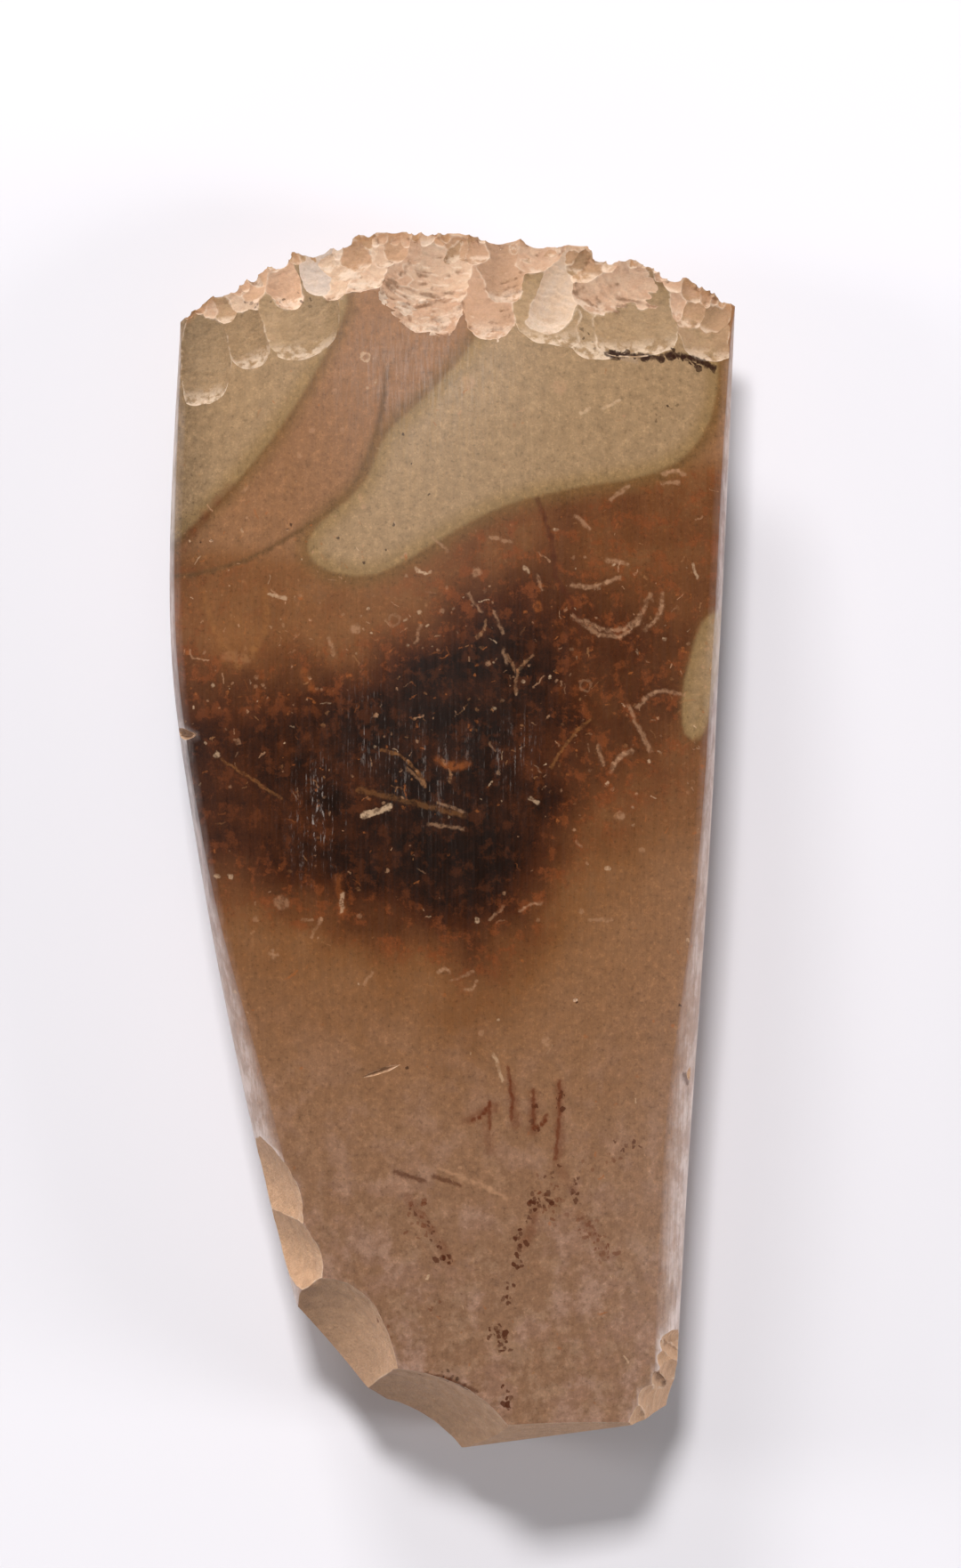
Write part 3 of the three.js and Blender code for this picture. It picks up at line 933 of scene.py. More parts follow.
STAIN_GRAINS = (
    Grains(Tone.DARK_RUST, 0.3, 0.85, 0.35, (
        (-1.5, -46.5, 0, -48.5, 10), (9.5, -42.5, 11.5, -41, 20), (10, -41, 8.5, -43.5, 10),
        (8, -44.5, 7.5, -47.5, 12), (6.5, -48.5, 8, -49, 4), (5.5, -55.5, 6, -57.5, 6),
        (6, -62.5, 6.5, -65.5, 7), (12.5, -28.5, 12.5, -30.5, 6), (9.5, -30, 9.5, -33, 7),
    )),
    Grains(Tone.DARK_RUST, 0.2, 0.75, 0.4, (
        (-5, -41, -1.5, -46.5, 12), (7, -50.5, 6.5, -53, 8), (4.5, -56, 6.5, -59, 16),
        (14, -38.5, 14, -42, 8), (19, -35.5, 22.5, -35, 9), (10.5, -38.5, 12, -38.5, 4),
    )),
    Grains(Tone.RUST, 0.24, 0.55, 0.8, (
        (-5, -41, -2.5, -45, 14), (11, -41.5, 12, -43.5, 10), (15, -43.5, 18, -47.5, 34),
        (9, -41, 13, -40, 14),
    )),
    Grains(Tone.RUST, 0.18, 0.5, 0.4, (
        (-8.5, -54.5, -6.5, -58, 9), (-2, -53, -1.5, -54.5, 5), (15.5, -37.5, 19, -36.5, 8),
    )),
    Grains(Tone.BLACK, 0.34, 0.9, 0.22, ((18.5, 56.5, 24.5, 56, 24), (25, 56.7, 30.5, 55, 30))),
    Grains(Tone.BLACK, 0.15, 0.6, 0.4, (
        (23.5, 49, 26, 51, 9), (14.5, 59.5, 16.5, 58, 6), (-24.5, 62.5, -16, 63, 12),
        (-2.5, -61, 0.5, -62, 8),
    )),
)


@dataclass(frozen=True)
class Inlay:
    """Many short strokes seen in the stone, as arrays with one row for each stroke.

    A row of the look is the stroke's cover, its softness and its tone from dark to pale.
    """

    start: np.ndarray
    end: np.ndarray
    half_width: np.ndarray
    ring: np.ndarray
    look: np.ndarray


def linear(colour: tuple[float, float, float]) -> tuple[float, float, float]:
    """Display red, green and blue as linear light.

    Args:
        colour: the display colour, from 0 to 255.

    Returns:
        The same colour in linear light, from 0 to 1.
    """
    share = np.asarray(colour, float) / 255
    light = np.where(share <= 0.04045, share / 12.92, ((share + 0.055) / 1.055) ** 2.4)
    return tuple(float(part) for part in light)


@dataclass(frozen=True)
class FlintPattern:
    """Where each colour of the flint lies. The pattern runs through the stone, leaning as it goes deeper."""

    body: GroundBody
    lean: tuple[float, float] = (0.16, -0.28)
    scatter_count: int = 900
    scatter_seed: int = 31
    grain_seed: int = 17
    # Scattered pieces: their lengths and tones with the odds of each, and where they crowd or thin out.
    piece_lengths: tuple[float, ...] = (0.02, 0.25, 0.5, 1.0, 1.7)
    length_odds: tuple[float, ...] = (0.52, 0.24, 0.14, 0.08, 0.02)
    piece_tones: tuple[float, ...] = (0.38, 0.55, 0.72, 0.95)
    tone_odds: tuple[float, ...] = (0.3, 0.25, 0.3, 0.15)
    crowded_y: float = 20
    crowded_half: float = 15
    sparse_above: float = 38
    sparse: float = 0.10
    # Depth to which a colour shows through unmoved.
    skin: float = 2.5
    across_stations: tuple[float, ...] = (-33.0, -22.5, -10.0, -3.8, 2.4, 8.6, 14.8, 21.0, 27.3)
    upper_border: tuple[float, ...] = (18.5, 18.4, 19.6, 23.0, 26.6, 29.0, 31.0, 27.0, 22.0)
    lower_border: tuple[float, ...] = (-4.5, -5.5, -9.5, -10.0, -12.0, -7.5, 3.0, 9.0, 13.0)
    core_strength: tuple[float, ...] = (0.74, 0.8, 0.88, 0.94, 0.96, 0.84, 0.54, 0.36, 0.24)
    brown_top: tuple[float, ...] = (33.0, 33.5, 31.0, 34.0, 38.0, 40.5, 41.5, 42.5, 43.5)
    brown_strength: tuple[float, ...] = (0.26, 0.2, 0.18, 0.24, 0.32, 0.34, 0.34, 0.34, 0.34)
    # Blobs where the polishing streaks show pale: real wear with a painted sheen on it.
    wear_and_sheen_blobs: Table = (
        (-15.5, 3.0, 2.6, 6.0, 1.0),
        (-9.7, 13.2, 1.8, 5.0, 0.6),
        (7.3, 10.5, 2.6, 4.0, 0.5),
        (-3.0, 8.0, 7.0, 6.0, 0.35),
    )

    def seen_place(self, points: np.ndarray) -> tuple[np.ndarray, np.ndarray]:
        """Places carried up to the front face along the lean of the pattern; those in the skin stay put.

        Args:
            points: vertices in mm on the drawn plan.

        Returns:
            Their x and y on the front face.
        """
        x, y, z = points.T
        depth = np.maximum(self.body.face_height(x, np.clip(y, self.body.butt_y, 70)) - z, 0)
        hidden = np.maximum(depth - self.skin, 0)
        return x + self.lean[0] * hidden, y + self.lean[1] * hidden

    def rounded(self, corners: tuple, steps: int = 4) -> list[tuple[float, float]]:
        """A closed curve that runs through the middles of the sides and bends round each corner.

        Args:
            corners: corners of the patch in mm, in order.
            steps: straight pieces to a bend.

        Returns:
            Places along the curve: a parabola from one side's middle to the next, drawn toward the corner.
        """
        corner = np.array(corners, float)
        before = (np.roll(corner, 1, axis=0) + corner) / 2
        after = (np.roll(corner, -1, axis=0) + corner) / 2
        share = np.arange(steps)[:, None, None] / steps
        curve = (1 - share) ** 2 * before + 2 * share * (1 - share) * corner + share**2 * after
        return [tuple(place) for place in curve.transpose(1, 0, 2).reshape(-1, 2)]

    def border_distance(self, corners: tuple, x: np.ndarray, y: np.ndarray) -> np.ndarray:
        """Distance to a patch's rounded border: the least to any of its straight pieces.

        Args:
            corners: corners of the patch in mm, in order.
            x: places across.
            y: places along.

        Returns:
            Distances in mm, negative inside.
        """
        outline = self.rounded(corners)
        least = np.full(x.shape, np.inf)
        inside = np.zeros(x.shape, bool)
        for (ax, ay), (bx, by) in zip(outline, outline[1:] + outline[:1]):
            run_x, run_y = bx - ax, by - ay
            share = np.clip(((x - ax) * run_x + (y - ay) * run_y) / (run_x**2 + run_y**2), 0, 1)
            least = np.minimum(least, (x - ax - share * run_x) ** 2 + (y - ay - share * run_y) ** 2)
            if ay != by:
                crossed = (ay > y) != (by > y)
                inside ^= crossed & (x < run_x * (y - ay) / run_y + ax)
        return np.where(inside, -1, 1) * np.sqrt(least)

    def blobs(self, rows: Table, x: np.ndarray, y: np.ndarray) -> np.ndarray:
        """Soft blobs laid over one another: one less the product of what each leaves.

        Args:
            rows: x, y, half width, half length and strength of each blob.
            x: places across.
            y: places along.

        Returns:
            Cover from 0 to 1.
        """
        left = np.ones(x.shape)
        for bx, by, rx, ry, strength in rows:
            far = np.sqrt(((x - bx) / rx) ** 2 + ((y - by) / ry) ** 2)
            left *= 1 - strength * np.exp(-(far**2.4))
        return 1 - left

    def fields(self, points: np.ndarray) -> dict[str, np.ndarray]:
        """Every colour field at the vertices.

        Args:
            points: vertices in mm on the drawn plan.

        Returns:
            Field name to one value for each vertex.
        """
        x, y = self.seen_place(points)
        rows = (self.upper_border, self.lower_border, self.core_strength, self.brown_top, self.brown_strength)
        upper, lower, core, top, brown = (np.interp(x, self.across_stations, row) for row in rows)
        core = core * (1 - ramp(-5.5, 5.5, y - upper)) * ramp(-6.0, 7.0, y - lower)
        brown = brown * (1 - ramp(-2.0, 2.0, y - top)) * ramp(-22.0, 4.0, y - lower)
        plain_x, plain_y = points[:, 0], points[:, 1]
        return {
            "olive_patch": self.border_distance(OLIVE_PATCH, x, y),
            "olive_flank": self.border_distance(OLIVE_FLANK, x, y),
            "pink_lobe": self.border_distance(PINK_LOBE, x, y),
            "olive_sliver": self.border_distance(OLIVE_SLIVER, x, y),
            "darkness": 1 - (1 - core) * (1 - brown),
            "butt_share": 1 - ramp(-58.0, -12.0, y),
            "lobe_seam": 1 - ramp(52.0, 58.0, y),
            "streak_wear_and_sheen": self.blobs(self.wear_and_sheen_blobs, x, y),
            # Painted shade: the upper left edge of the face darkened, as if it curved away from the light.
            "painted_left_shade": 0.4 * (1 - ramp(-33.0, -25.0, x)) * ramp(26.0, 36.0, y),
            "behind_edge": self.body.edge_y(plain_x) - plain_y,
        }

    def inlays(self, side: int) -> Inlay:
        """Fossils and stains on one face: the placed ones on the front, and scattered small ones on both.

        Args:
            side: 1 for the front, -1 for the back.

        Returns:
            All the strokes of that face.
        """
        rows: list[tuple] = []
        if side > 0:
            for group in (*SEA_MAT, *ROUND_FOSSILS, *STAIN_RUNS):
                rows += group.rows()
            chance = np.random.default_rng(self.grain_seed)
            for grains in STAIN_GRAINS:
                rows += grains.rows(chance)
        rows += self.scatter(side)
        table = np.array(rows, float)
        return Inlay(table[:, 0:2], table[:, 2:4], table[:, 4], table[:, 5], table[:, 6:9])

    def scatter(self, side: int) -> list[tuple]:
        """Small sea-mat pieces scattered at random, thickest in the brown middle of the stone.

        Args:
            side: 1 for the front, -1 for the back.

        Returns:
            Rows of start, end, half width, ring radius, cover, softness and tone.
        """
        chance = np.random.default_rng(self.scatter_seed + side)
        rows = []
        while len(rows) < self.scatter_count:
            x, y = chance.uniform(-31, 32), chance.uniform(-66, 60)
            crowd = 0.12 + 0.88 * math.exp(-(((y - self.crowded_y + 0.15 * x) / self.crowded_half) ** 2))
            if y > self.sparse_above:
                crowd = self.sparse
            if chance.uniform() > crowd:
                continue
            length = chance.choice(self.piece_lengths, p=self.length_odds)
            turn = chance.uniform(0, np.pi)
            half = chance.uniform(0.03, 0.08) if length > 0.1 else chance.uniform(0.04, 0.17)
            cover = chance.uniform(0.15, 0.6)
            tone = chance.choice(self.piece_tones, p=self.tone_odds)
            run_x, run_y = length * math.cos(turn), length * math.sin(turn)
            rows.append((x, y, x + run_x, y + run_y, half, 0.0, cover, half * 0.8 + 0.03, tone))
        return rows


def nearest_strokes(centres: np.ndarray, inlay: Inlay, layers: int) -> np.ndarray:
    """For each face, the strokes whose rims lie nearest to its middle.

    Args:
        centres: face middles (n, 2) in mm.
        inlay: the strokes.
        layers: how many strokes to keep.

    Returns:
        Stroke numbers (layers, n), nearest first.
    """
    best = np.full((layers, len(centres)), np.inf)
    which = np.zeros((layers, len(centres)), int)
    for k in range(len(inlay.half_width)):
        run = inlay.end[k] - inlay.start[k]
        away = centres - inlay.start[k]
        share = np.clip(away @ run / (run @ run), 0, 1)
        far = np.linalg.norm(away - share[:, None] * run, axis=1)
        rim = np.abs(far - inlay.ring[k]) - inlay.half_width[k] - inlay.look[k, 1]
        mark = np.full(len(centres), k)
        for layer in range(layers):
            nearer = rim < best[layer]
            best[layer], rim = np.where(nearer, rim, best[layer]), np.where(nearer, best[layer], rim)
            which[layer], mark = np.where(nearer, mark, which[layer]), np.where(nearer, which[layer], mark)
    return which


class NodeSheet:
    """Lays out the nodes of one material, or of the surroundings, by plain steps."""

    def __init__(self, owner: bpy.types.Material | bpy.types.World) -> None:
        """Empties the owner's node tree and keeps it.

        Args:
            owner: the material or the surroundings.
        """
        owner.use_nodes = True
        self.tree = owner.node_tree
        self.tree.nodes.clear()

    def add(self, kind: str, **settings: object) -> bpy.types.Node:
        """A new node with its settings.

        Args:
            kind: the node's type name.
            settings: its own settings by name.

        Returns:
            The node.
        """
        node = self.tree.nodes.new(kind)
        for name, value in settings.items():
            setattr(node, name, value)
        return node

    def feed(self, socket: Socket, value: object) -> None:
        """Links a socket into another, or sets a plain number or colour on it.

        Args:
            socket: the socket that is fed.
            value: a socket, a number, a colour or a vector.
        """
        if isinstance(value, Socket):
            self.tree.links.new(value, socket)
        elif isinstance(value, (tuple, list)) and len(socket.default_value) == 4:
            socket.default_value = (*value[:3], 1.0)
        else:
            socket.default_value = value

    def math(self, operation: str, *values: object, clamp: bool = False) -> Socket:
        """The result of one sum on numbers.

        Args:
            operation: name of the sum.
            values: what goes in.
            clamp: keeps the result between 0 and 1.

        Returns:
            The result.
        """
        node = self.add("ShaderNodeMath", operation=operation, use_clamp=clamp)
        for socket, value in zip(node.inputs, values):
            self.feed(socket, value)
        return node.outputs[0]

    def times(self, first: object, second: object, clamp: bool = False) -> Socket:
        """One number times another."""
        return self.math("MULTIPLY", first, second, clamp=clamp)

    def plus(self, first: object, second: object) -> Socket:
        """One number plus another."""
        return self.math("ADD", first, second)

    def minus(self, first: object, second: object, clamp: bool = False) -> Socket:
        """One number less another."""
        return self.math("SUBTRACT", first, second, clamp=clamp)

    def swing(self, noise: object, size: float) -> Socket:
        """Noise from 0 to 1 as a swing about nought, half the size either way."""
        return self.times(self.minus(noise, 0.5), size)

    def plan(self, place: object) -> Socket:
        """A place with its height taken away."""
        return self.vector("MULTIPLY", place, (1.0, 1.0, 0.0))

    def vector(self, operation: str, *values: object, output: int = 0) -> Socket:
        """The result of one sum on vectors; output 1 is the plain number.

        Args:
            operation: name of the sum.
            values: what goes in.
            output: 0 for the vector, 1 for the plain number.

        Returns:
            The result.
        """
        node = self.add("ShaderNodeVectorMath", operation=operation)
        for socket, value in zip(node.inputs, values):
            self.feed(socket, value)
        return node.outputs[output]

    def scaled(self, vector: object, number: object) -> Socket:
        """A vector or a colour times a number.

        Args:
            vector: the vector or colour.
            number: what it is multiplied by.

        Returns:
            The result.
        """
        node = self.add("ShaderNodeVectorMath", operation="SCALE")
        self.feed(node.inputs[0], vector)
        self.feed(node.inputs["Scale"], number)
        return node.outputs[0]

    def mix(self, share: object, first: object, second: object) -> Socket:
        """Colour part way from the first to the second.

        Args:
            share: how far, from 0 to 1.
            first: colour at 0.
            second: colour at 1.

        Returns:
            The colour.
        """
        node = self.add("ShaderNodeMix", data_type="RGBA")
        for place, value in ((0, share), (6, first), (7, second)):
            self.feed(node.inputs[place], value)
        return node.outputs[2]

    def blend(self, share: object, first: object, second: object) -> Socket:
        """Number part way from the first to the second.

        Args:
            share: how far, from 0 to 1.
            first: number at 0.
            second: number at 1.

        Returns:
            The number.
        """
        node = self.add("ShaderNodeMix", data_type="FLOAT")
        for place, value in ((0, share), (2, first), (3, second)):
            self.feed(node.inputs[place], value)
        return node.outputs[0]

    def step(
        self, low: float, high: float, value: object, to: tuple[float, float] = (0.0, 1.0)
    ) -> Socket:
        """Smooth step of a value from low to high, onto the given pair.

        Args:
            low: where the step starts.
            high: where it ends.
            value: what is stepped.
            to: the results at low and at high.

        Returns:
            The result.
        """
        node = self.add("ShaderNodeMapRange", interpolation_type="SMOOTHSTEP")
        for name, number in (("From Min", low), ("From Max", high), ("To Min", to[0]), ("To Max", to[1])):
            node.inputs[name].default_value = number
        self.feed(node.inputs["Value"], value)
        return node.outputs["Result"]

    def noise(
        self, place: object, scale: float, detail: float = 3.0, rough: float = 0.5, colour: bool = False
    ) -> Socket:
        """Cloudy noise at a place; as three numbers if colour is true.

        Args:
            place: where, as a vector.
            scale: how many clouds to one unit.
            detail: how many finer layers it has.
            rough: how strong they are.
            colour: three numbers instead of one.

        Returns:
            The noise, from 0 to 1.
        """
        node = self.add("ShaderNodeTexNoise")
        self.feed(node.inputs["Vector"], place)
        node.inputs["Scale"].default_value = scale
        node.inputs["Detail"].default_value = detail
        node.inputs["Roughness"].default_value = rough
        return node.outputs["Color" if colour else "Fac"]

    def stored(self, name: str, vector: bool = False) -> Socket:
        """A field stored on the mesh."""
        node = self.add("ShaderNodeAttribute", attribute_name=name)
        return node.outputs["Vector" if vector else "Fac"]

    def shades(self, place: object, stops: tuple) -> Socket:
        """A run of display colours, each at its own place from 0 to 1.

        Args:
            place: where on the run.
            stops: place and display colour of each.

        Returns:
            The colour.
        """
        node = self.add("ShaderNodeValToRGB")
        self.feed(node.inputs[0], place)
        ramp_stops = node.color_ramp.elements
        for number, (at, colour) in enumerate(stops):
            stop = ramp_stops[number] if number < 2 else ramp_stops.new(at)
            stop.position = at
            stop.color = (*linear(colour), 1.0)
        return node.outputs[0]

    def part(self, vector: object, axis: str) -> Socket:
        """One part of a vector.

        Args:
            vector: the vector.
            axis: X, Y or Z.

        Returns:
            The number.
        """
        node = self.add("ShaderNodeSeparateXYZ")
        self.feed(node.inputs[0], vector)
        return node.outputs[axis]


@dataclass(frozen=True)
class FlintFinish:
    """Polished brown flint with olive patches, fossils, stains and paler scars. Display colours."""

    olive: tuple = (164, 132, 97)
    olive_deep: tuple = (150, 118, 78)
    olive_rim: tuple = (120, 86, 48)
    blade_shades: tuple = (
        (0.0, (148, 104, 70)),
        (0.16, (132, 86, 50)),
        (0.32, (114, 68, 36)),
        (0.52, (92, 52, 26)),
        (0.72, (74, 36, 14)),
        (0.88, (48, 22, 8)),
        (1.0, (28, 12, 4)),
    )
    butt_shades: tuple = (
        (0.0, (156, 120, 94)),
        (0.2, (136, 96, 66)),
        (0.45, (104, 62, 34)),
        (1.0, (50, 22, 8)),
    )
    seam: tuple = (104, 72, 42)
    mark_tones: tuple = (
        (0.0, (50, 24, 12)),
        (0.15, (108, 52, 26)),
        (0.35, (176, 96, 44)),
        (0.5, (158, 104, 58)),
        (0.75, (198, 150, 114)),
        (1.0, (230, 194, 156)),
    )
    scar_tones: tuple = (
        (0.0, (150, 118, 84)),
        (0.3, (176, 146, 112)),
        (0.5, (184, 144, 110)),
        (0.7, (200, 158, 128)),
        (0.85, (216, 184, 156)),
        (1.0, (210, 188, 172)),
    )
    edge_amber: tuple = (196, 142, 96)
    rust: tuple = (134, 70, 34)
    blush: tuple = (176, 138, 120)
    tan: tuple = (136, 92, 62)
    # Painted highlight laid along the scar ridges and the far rims of the scars.
    painted_ridge_highlight: tuple = (240, 214, 190)
    # Painted shade in the creases between scars.
    painted_crease_shade: tuple = (112, 74, 46)
    scar_depth: float = 0.80
    butt_patina: tuple = (238, 190, 150)
    # Pale colour of the polishing streaks: real wear, whitened by a painted sheen.
    worn: tuple = (150, 138, 130)
    # Pale coat of the narrow sides: partly a whiter patina, partly a painted reflection of the bright
    # surroundings.
    flank_patina_and_sheen: tuple = (232, 218, 214)
    depth: float = 0.72
    ground_roughness: tuple[float, float] = (0.34, 0.5)
    flaked_roughness: tuple[float, float] = (0.42, 0.6)
    refraction: float = 1.54
    shine: float = 0.12
    glow: float = 0.06
    glow_radius: tuple[float, float, float] = (1.0, 0.45, 0.25)
    glow_scale: float = 0.0016
    bump_distance: float = 0.0001
    # Each olive patch: its field, the width of its dark rim in mm, and how strong the rim is.
    olive_patches: tuple = (("olive_patch", 2.4, 0.85), ("olive_flank", 2.2, 0.8), ("olive_sliver", 1.0, 0.3))

    def made_by(
        self, sheet: NodeSheet, kind: object, working: Working, to: tuple[float, float] = (0.0, 1.0)
    ) -> Socket:
        """Steps from the first of the pair to the second at the number of a working."""
        return sheet.step(working.value - 0.6, working.value - 0.4, kind, to)

    def material(self) -> bpy.types.Material:
        """The whole material.

        Returns:
            A node material that reads Object coordinates and the fields stored on the mesh.
        """
        made = bpy.data.materials.new("polished_flint")
        sheet = NodeSheet(made)
        coordinates = sheet.add("ShaderNodeTexCoord").outputs["Object"]
        place = sheet.vector("MULTIPLY", coordinates, (1 / MM, 1 / MM, 1 / MM))
        place = sheet.vector("ADD", place, (*PLAN_CENTRE, -REST_DEPTH))
        streak = self.streaks(sheet, place)
        bare = self.ground_colour(sheet, place, streak)
        # Pale coat on the narrow sides: partly patina, partly a painted reflection of the bright surroundings
        # on the grazing flanks.
        patina_and_sheen_share = sheet.times(sheet.stored("flank"), sheet.step(0.3, 0.6, streak, (0.3, 0.56)))
        patina_and_sheen_share = sheet.times(patina_and_sheen_share, sheet.step(0.0, 0.5, sheet.stored("butt_share"), (0.8, 1.0)))
        worn_off = sheet.step(0.38, 0.62, sheet.noise(place, 0.3, 5.0, 0.65), (0.55, 1.15))
        patina_and_sheen_share = sheet.times(patina_and_sheen_share, worn_off, clamp=True)
        ground = sheet.mix(patina_and_sheen_share, bare, linear(self.flank_patina_and_sheen))
        kind = sheet.stored("working_kind")
        flaked = self.made_by(sheet, kind, Working.EDGE_SCAR)
        colour = sheet.mix(flaked, ground, self.flaked_colour(sheet, place, bare, kind))
        colour = self.inlaid(sheet, place, colour, flaked)
        shader = sheet.add("ShaderNodeBsdfPrincipled")
        sheet.feed(shader.inputs["Base Color"], colour)
        rough_ground = sheet.step(0.3, 0.75, streak, self.ground_roughness)
        fine = sheet.noise(place, 3.0, 4.0, 0.6)
        rough_flaked = sheet.step(0.3, 0.7, fine, self.flaked_roughness)
        sheet.feed(shader.inputs["Roughness"], sheet.blend(flaked, rough_ground, rough_flaked))
        shader.inputs["IOR"].default_value = self.refraction
        shader.inputs["Specular IOR Level"].default_value = self.shine
        shader.inputs["Subsurface Weight"].default_value = self.glow
        shader.inputs["Subsurface Radius"].default_value = self.glow_radius
        shader.inputs["Subsurface Scale"].default_value = self.glow_scale
        sheet.feed(shader.inputs["Normal"], self.relief(sheet, place, streak, flaked))
        output = sheet.add("ShaderNodeOutputMaterial")
        sheet.feed(output.inputs["Surface"], shader.outputs[0])
        return made

    def streaks(self, sheet: NodeSheet, place: object) -> Socket:
        """Fine grinding streaks along the stone: noise stretched along Y."""
        long = sheet.vector("MULTIPLY", place, (3.4, 0.16, 1.2))
        return sheet.noise(long, 1.0, 5.0, 0.62)

    def ground_colour(self, sheet: NodeSheet, place: object, streak: object) -> Socket:
        """Colour of the ground faces: zones along the stone, olive patches with dark rims, then mottling, a
        painted shade along the upper left edge, and pale polishing streaks with a painted sheen.

        Args:
            sheet: the node sheet.
            place: place in mm.
            streak: the grinding streaks.

        Returns:
            The colour.
        """
        cloud = sheet.noise(place, 0.16, 4.0, 0.55)
        mottle = sheet.noise(place, 0.9, 5.0, 0.62)
        grain = sheet.noise(place, 4.5, 3.0, 0.6)
        drift = sheet.swing(cloud, 0.9)
        waver = sheet.swing(mottle, 0.7)

        depth = sheet.stored("darkness")
        uneven = sheet.plus(drift, sheet.times(waver, 0.75))
        uneven = sheet.plus(uneven, sheet.swing(grain, 0.35))
        dark = sheet.plus(depth, sheet.times(uneven, sheet.step(0.0, 0.45, depth, (0.16, 0.75))))
        blade = sheet.shades(dark, self.blade_shades)
        butt = sheet.shades(dark, self.butt_shades)
        colour = sheet.mix(sheet.stored("butt_share"), blade, butt)
        clouds = sheet.step(0.5, 0.62, sheet.noise(place, 0.5, 6.0, 0.7), (0.0, 0.6))
        middle = sheet.times(sheet.step(0.12, 0.35, depth), sheet.step(0.6, 0.95, depth, (1.0, 0.25)))
        colour = sheet.mix(sheet.times(clouds, middle), colour, linear(self.rust))
        blush = sheet.step(0.45, 0.62, sheet.noise(place, 0.22, 5.0, 0.62), (0.0, 0.5))
        blush = sheet.times(blush, sheet.stored("butt_share"))
        colour = sheet.mix(blush, colour, linear(self.blush))
        tan = sheet.step(0.46, 0.6, sheet.noise(place, 0.45, 5.0, 0.66), (0.4, 0.0))
        colour = sheet.mix(sheet.times(tan, sheet.stored("butt_share")), colour, linear(self.tan))
        lobe = sheet.plus(sheet.stored("pink_lobe"), waver)
        seam = sheet.step(0.0, 0.6, sheet.math("ABSOLUTE", lobe), (0.8, 0.0))
        seam = sheet.times(seam, sheet.stored("lobe_seam"))
        colour = sheet.mix(seam, colour, linear(self.seam))
        for name, halo, strength in self.olive_patches:
            border = sheet.plus(sheet.stored(name), sheet.times(waver, 0.9))
            rim = sheet.step(0.0, halo, border, (strength, 0.0))
            colour = sheet.mix(rim, colour, linear(self.olive_rim))
            olive = sheet.mix(sheet.step(-2.6, -0.2, border), linear(self.olive), linear(self.olive_deep))
            colour = sheet.mix(sheet.step(-0.35, 0.35, border, (1.0, 0.0)), colour, olive)
        light = sheet.swing(mottle, 0.75)
        light = sheet.plus(light, sheet.swing(grain, 0.45))
        light = sheet.plus(light, sheet.swing(streak, 0.2))
        curls = sheet.math("ABSOLUTE", sheet.minus(sheet.noise(place, 0.7, 3.0, 0.55), 0.5))
        curls = sheet.times(sheet.step(0.0, 0.025, curls, (0.2, 0.0)), sheet.step(0.45, 0.6, mottle))
        light = sheet.plus(light, curls)
        flecks = sheet.noise(place, 2.2, 3.0, 0.55)
        light = sheet.plus(light, sheet.step(0.56, 0.70, flecks, (0.0, 0.22)))
        light = sheet.minus(light, sheet.step(0.30, 0.44, flecks, (0.22, 0.0)))
        # Painted shade along the upper left edge of the face.
        light = sheet.minus(light, sheet.stored("painted_left_shade"))
        light = sheet.times(sheet.plus(light, 1.0), self.depth)
        colour = sheet.scaled(colour, light)
        # Pale polishing streaks in the dark band: real wear, whitened by a painted sheen.
        dotted = sheet.noise(sheet.vector("MULTIPLY", place, (3.6, 1.3, 1.2)), 1.0, 3.0, 0.6)
        worn = sheet.times(sheet.step(0.5, 0.66, streak), sheet.step(0.48, 0.62, dotted))
        worn = sheet.times(worn, sheet.stored("streak_wear_and_sheen"))
        return sheet.mix(sheet.times(worn, 0.75), colour, linear(self.worn))

    def inlaid(self, sheet: NodeSheet, place: object, colour: object, flaked: object) -> Socket:
        """Lays the nearest strokes over the colour.

        Each face stores a stroke's ends; the stroke's shape is the distance to the line between them, less
        the ring radius and the half width, made ragged by noise.

        Args:
            sheet: the node sheet.
            place: place in mm.
            colour: the colour below.
            flaked: 1 in the scars, where pale strokes hardly show.

        Returns:
            The colour with the strokes in it.
        """
        wander = sheet.vector("SUBTRACT", sheet.noise(place, 1.1, 2.0, 0.5, colour=True), (0.5, 0.5, 0.5))
        moved = sheet.vector("ADD", place, sheet.vector("MULTIPLY", wander, (0.75, 0.75, 0.0)))
        flat = sheet.plan(moved)
        ragged = sheet.swing(sheet.noise(place, 4.5, 3.0, 0.6), 0.26)
        broken = sheet.step(0.36, 0.56, sheet.noise(place, 1.7, 3.0, 0.6), (0.3, 1.0))
        for layer in range(STROKE_LAYERS):
            start = sheet.stored(f"stroke_start_{layer}", vector=True)
            end = sheet.stored(f"stroke_end_{layer}", vector=True)
            look = sheet.stored(f"stroke_look_{layer}", vector=True)
            low = sheet.plan(start)
            run = sheet.vector("SUBTRACT", sheet.plan(end), low)
            away = sheet.vector("SUBTRACT", flat, low)
            along = sheet.math(
                "DIVIDE", sheet.vector("DOT_PRODUCT", away, run, output=1),
                sheet.vector("DOT_PRODUCT", run, run, output=1), clamp=True,
            )
            nearest = sheet.scaled(run, along)
            far = sheet.vector("LENGTH", sheet.vector("SUBTRACT", away, nearest), output=1)
            rim = sheet.math("ABSOLUTE", sheet.minus(far, sheet.part(end, "Z")))
            rim = sheet.plus(sheet.minus(rim, sheet.part(start, "Z")), ragged)
            inside = sheet.minus(1.0, sheet.math("DIVIDE", rim, sheet.part(look, "Y")), clamp=True)
            inside = sheet.times(inside, inside)
            pale = sheet.step(0.12, 0.3, sheet.part(look, "Z"))
            shown = sheet.minus(1.0, sheet.times(flaked, sheet.times(pale, 0.85)))
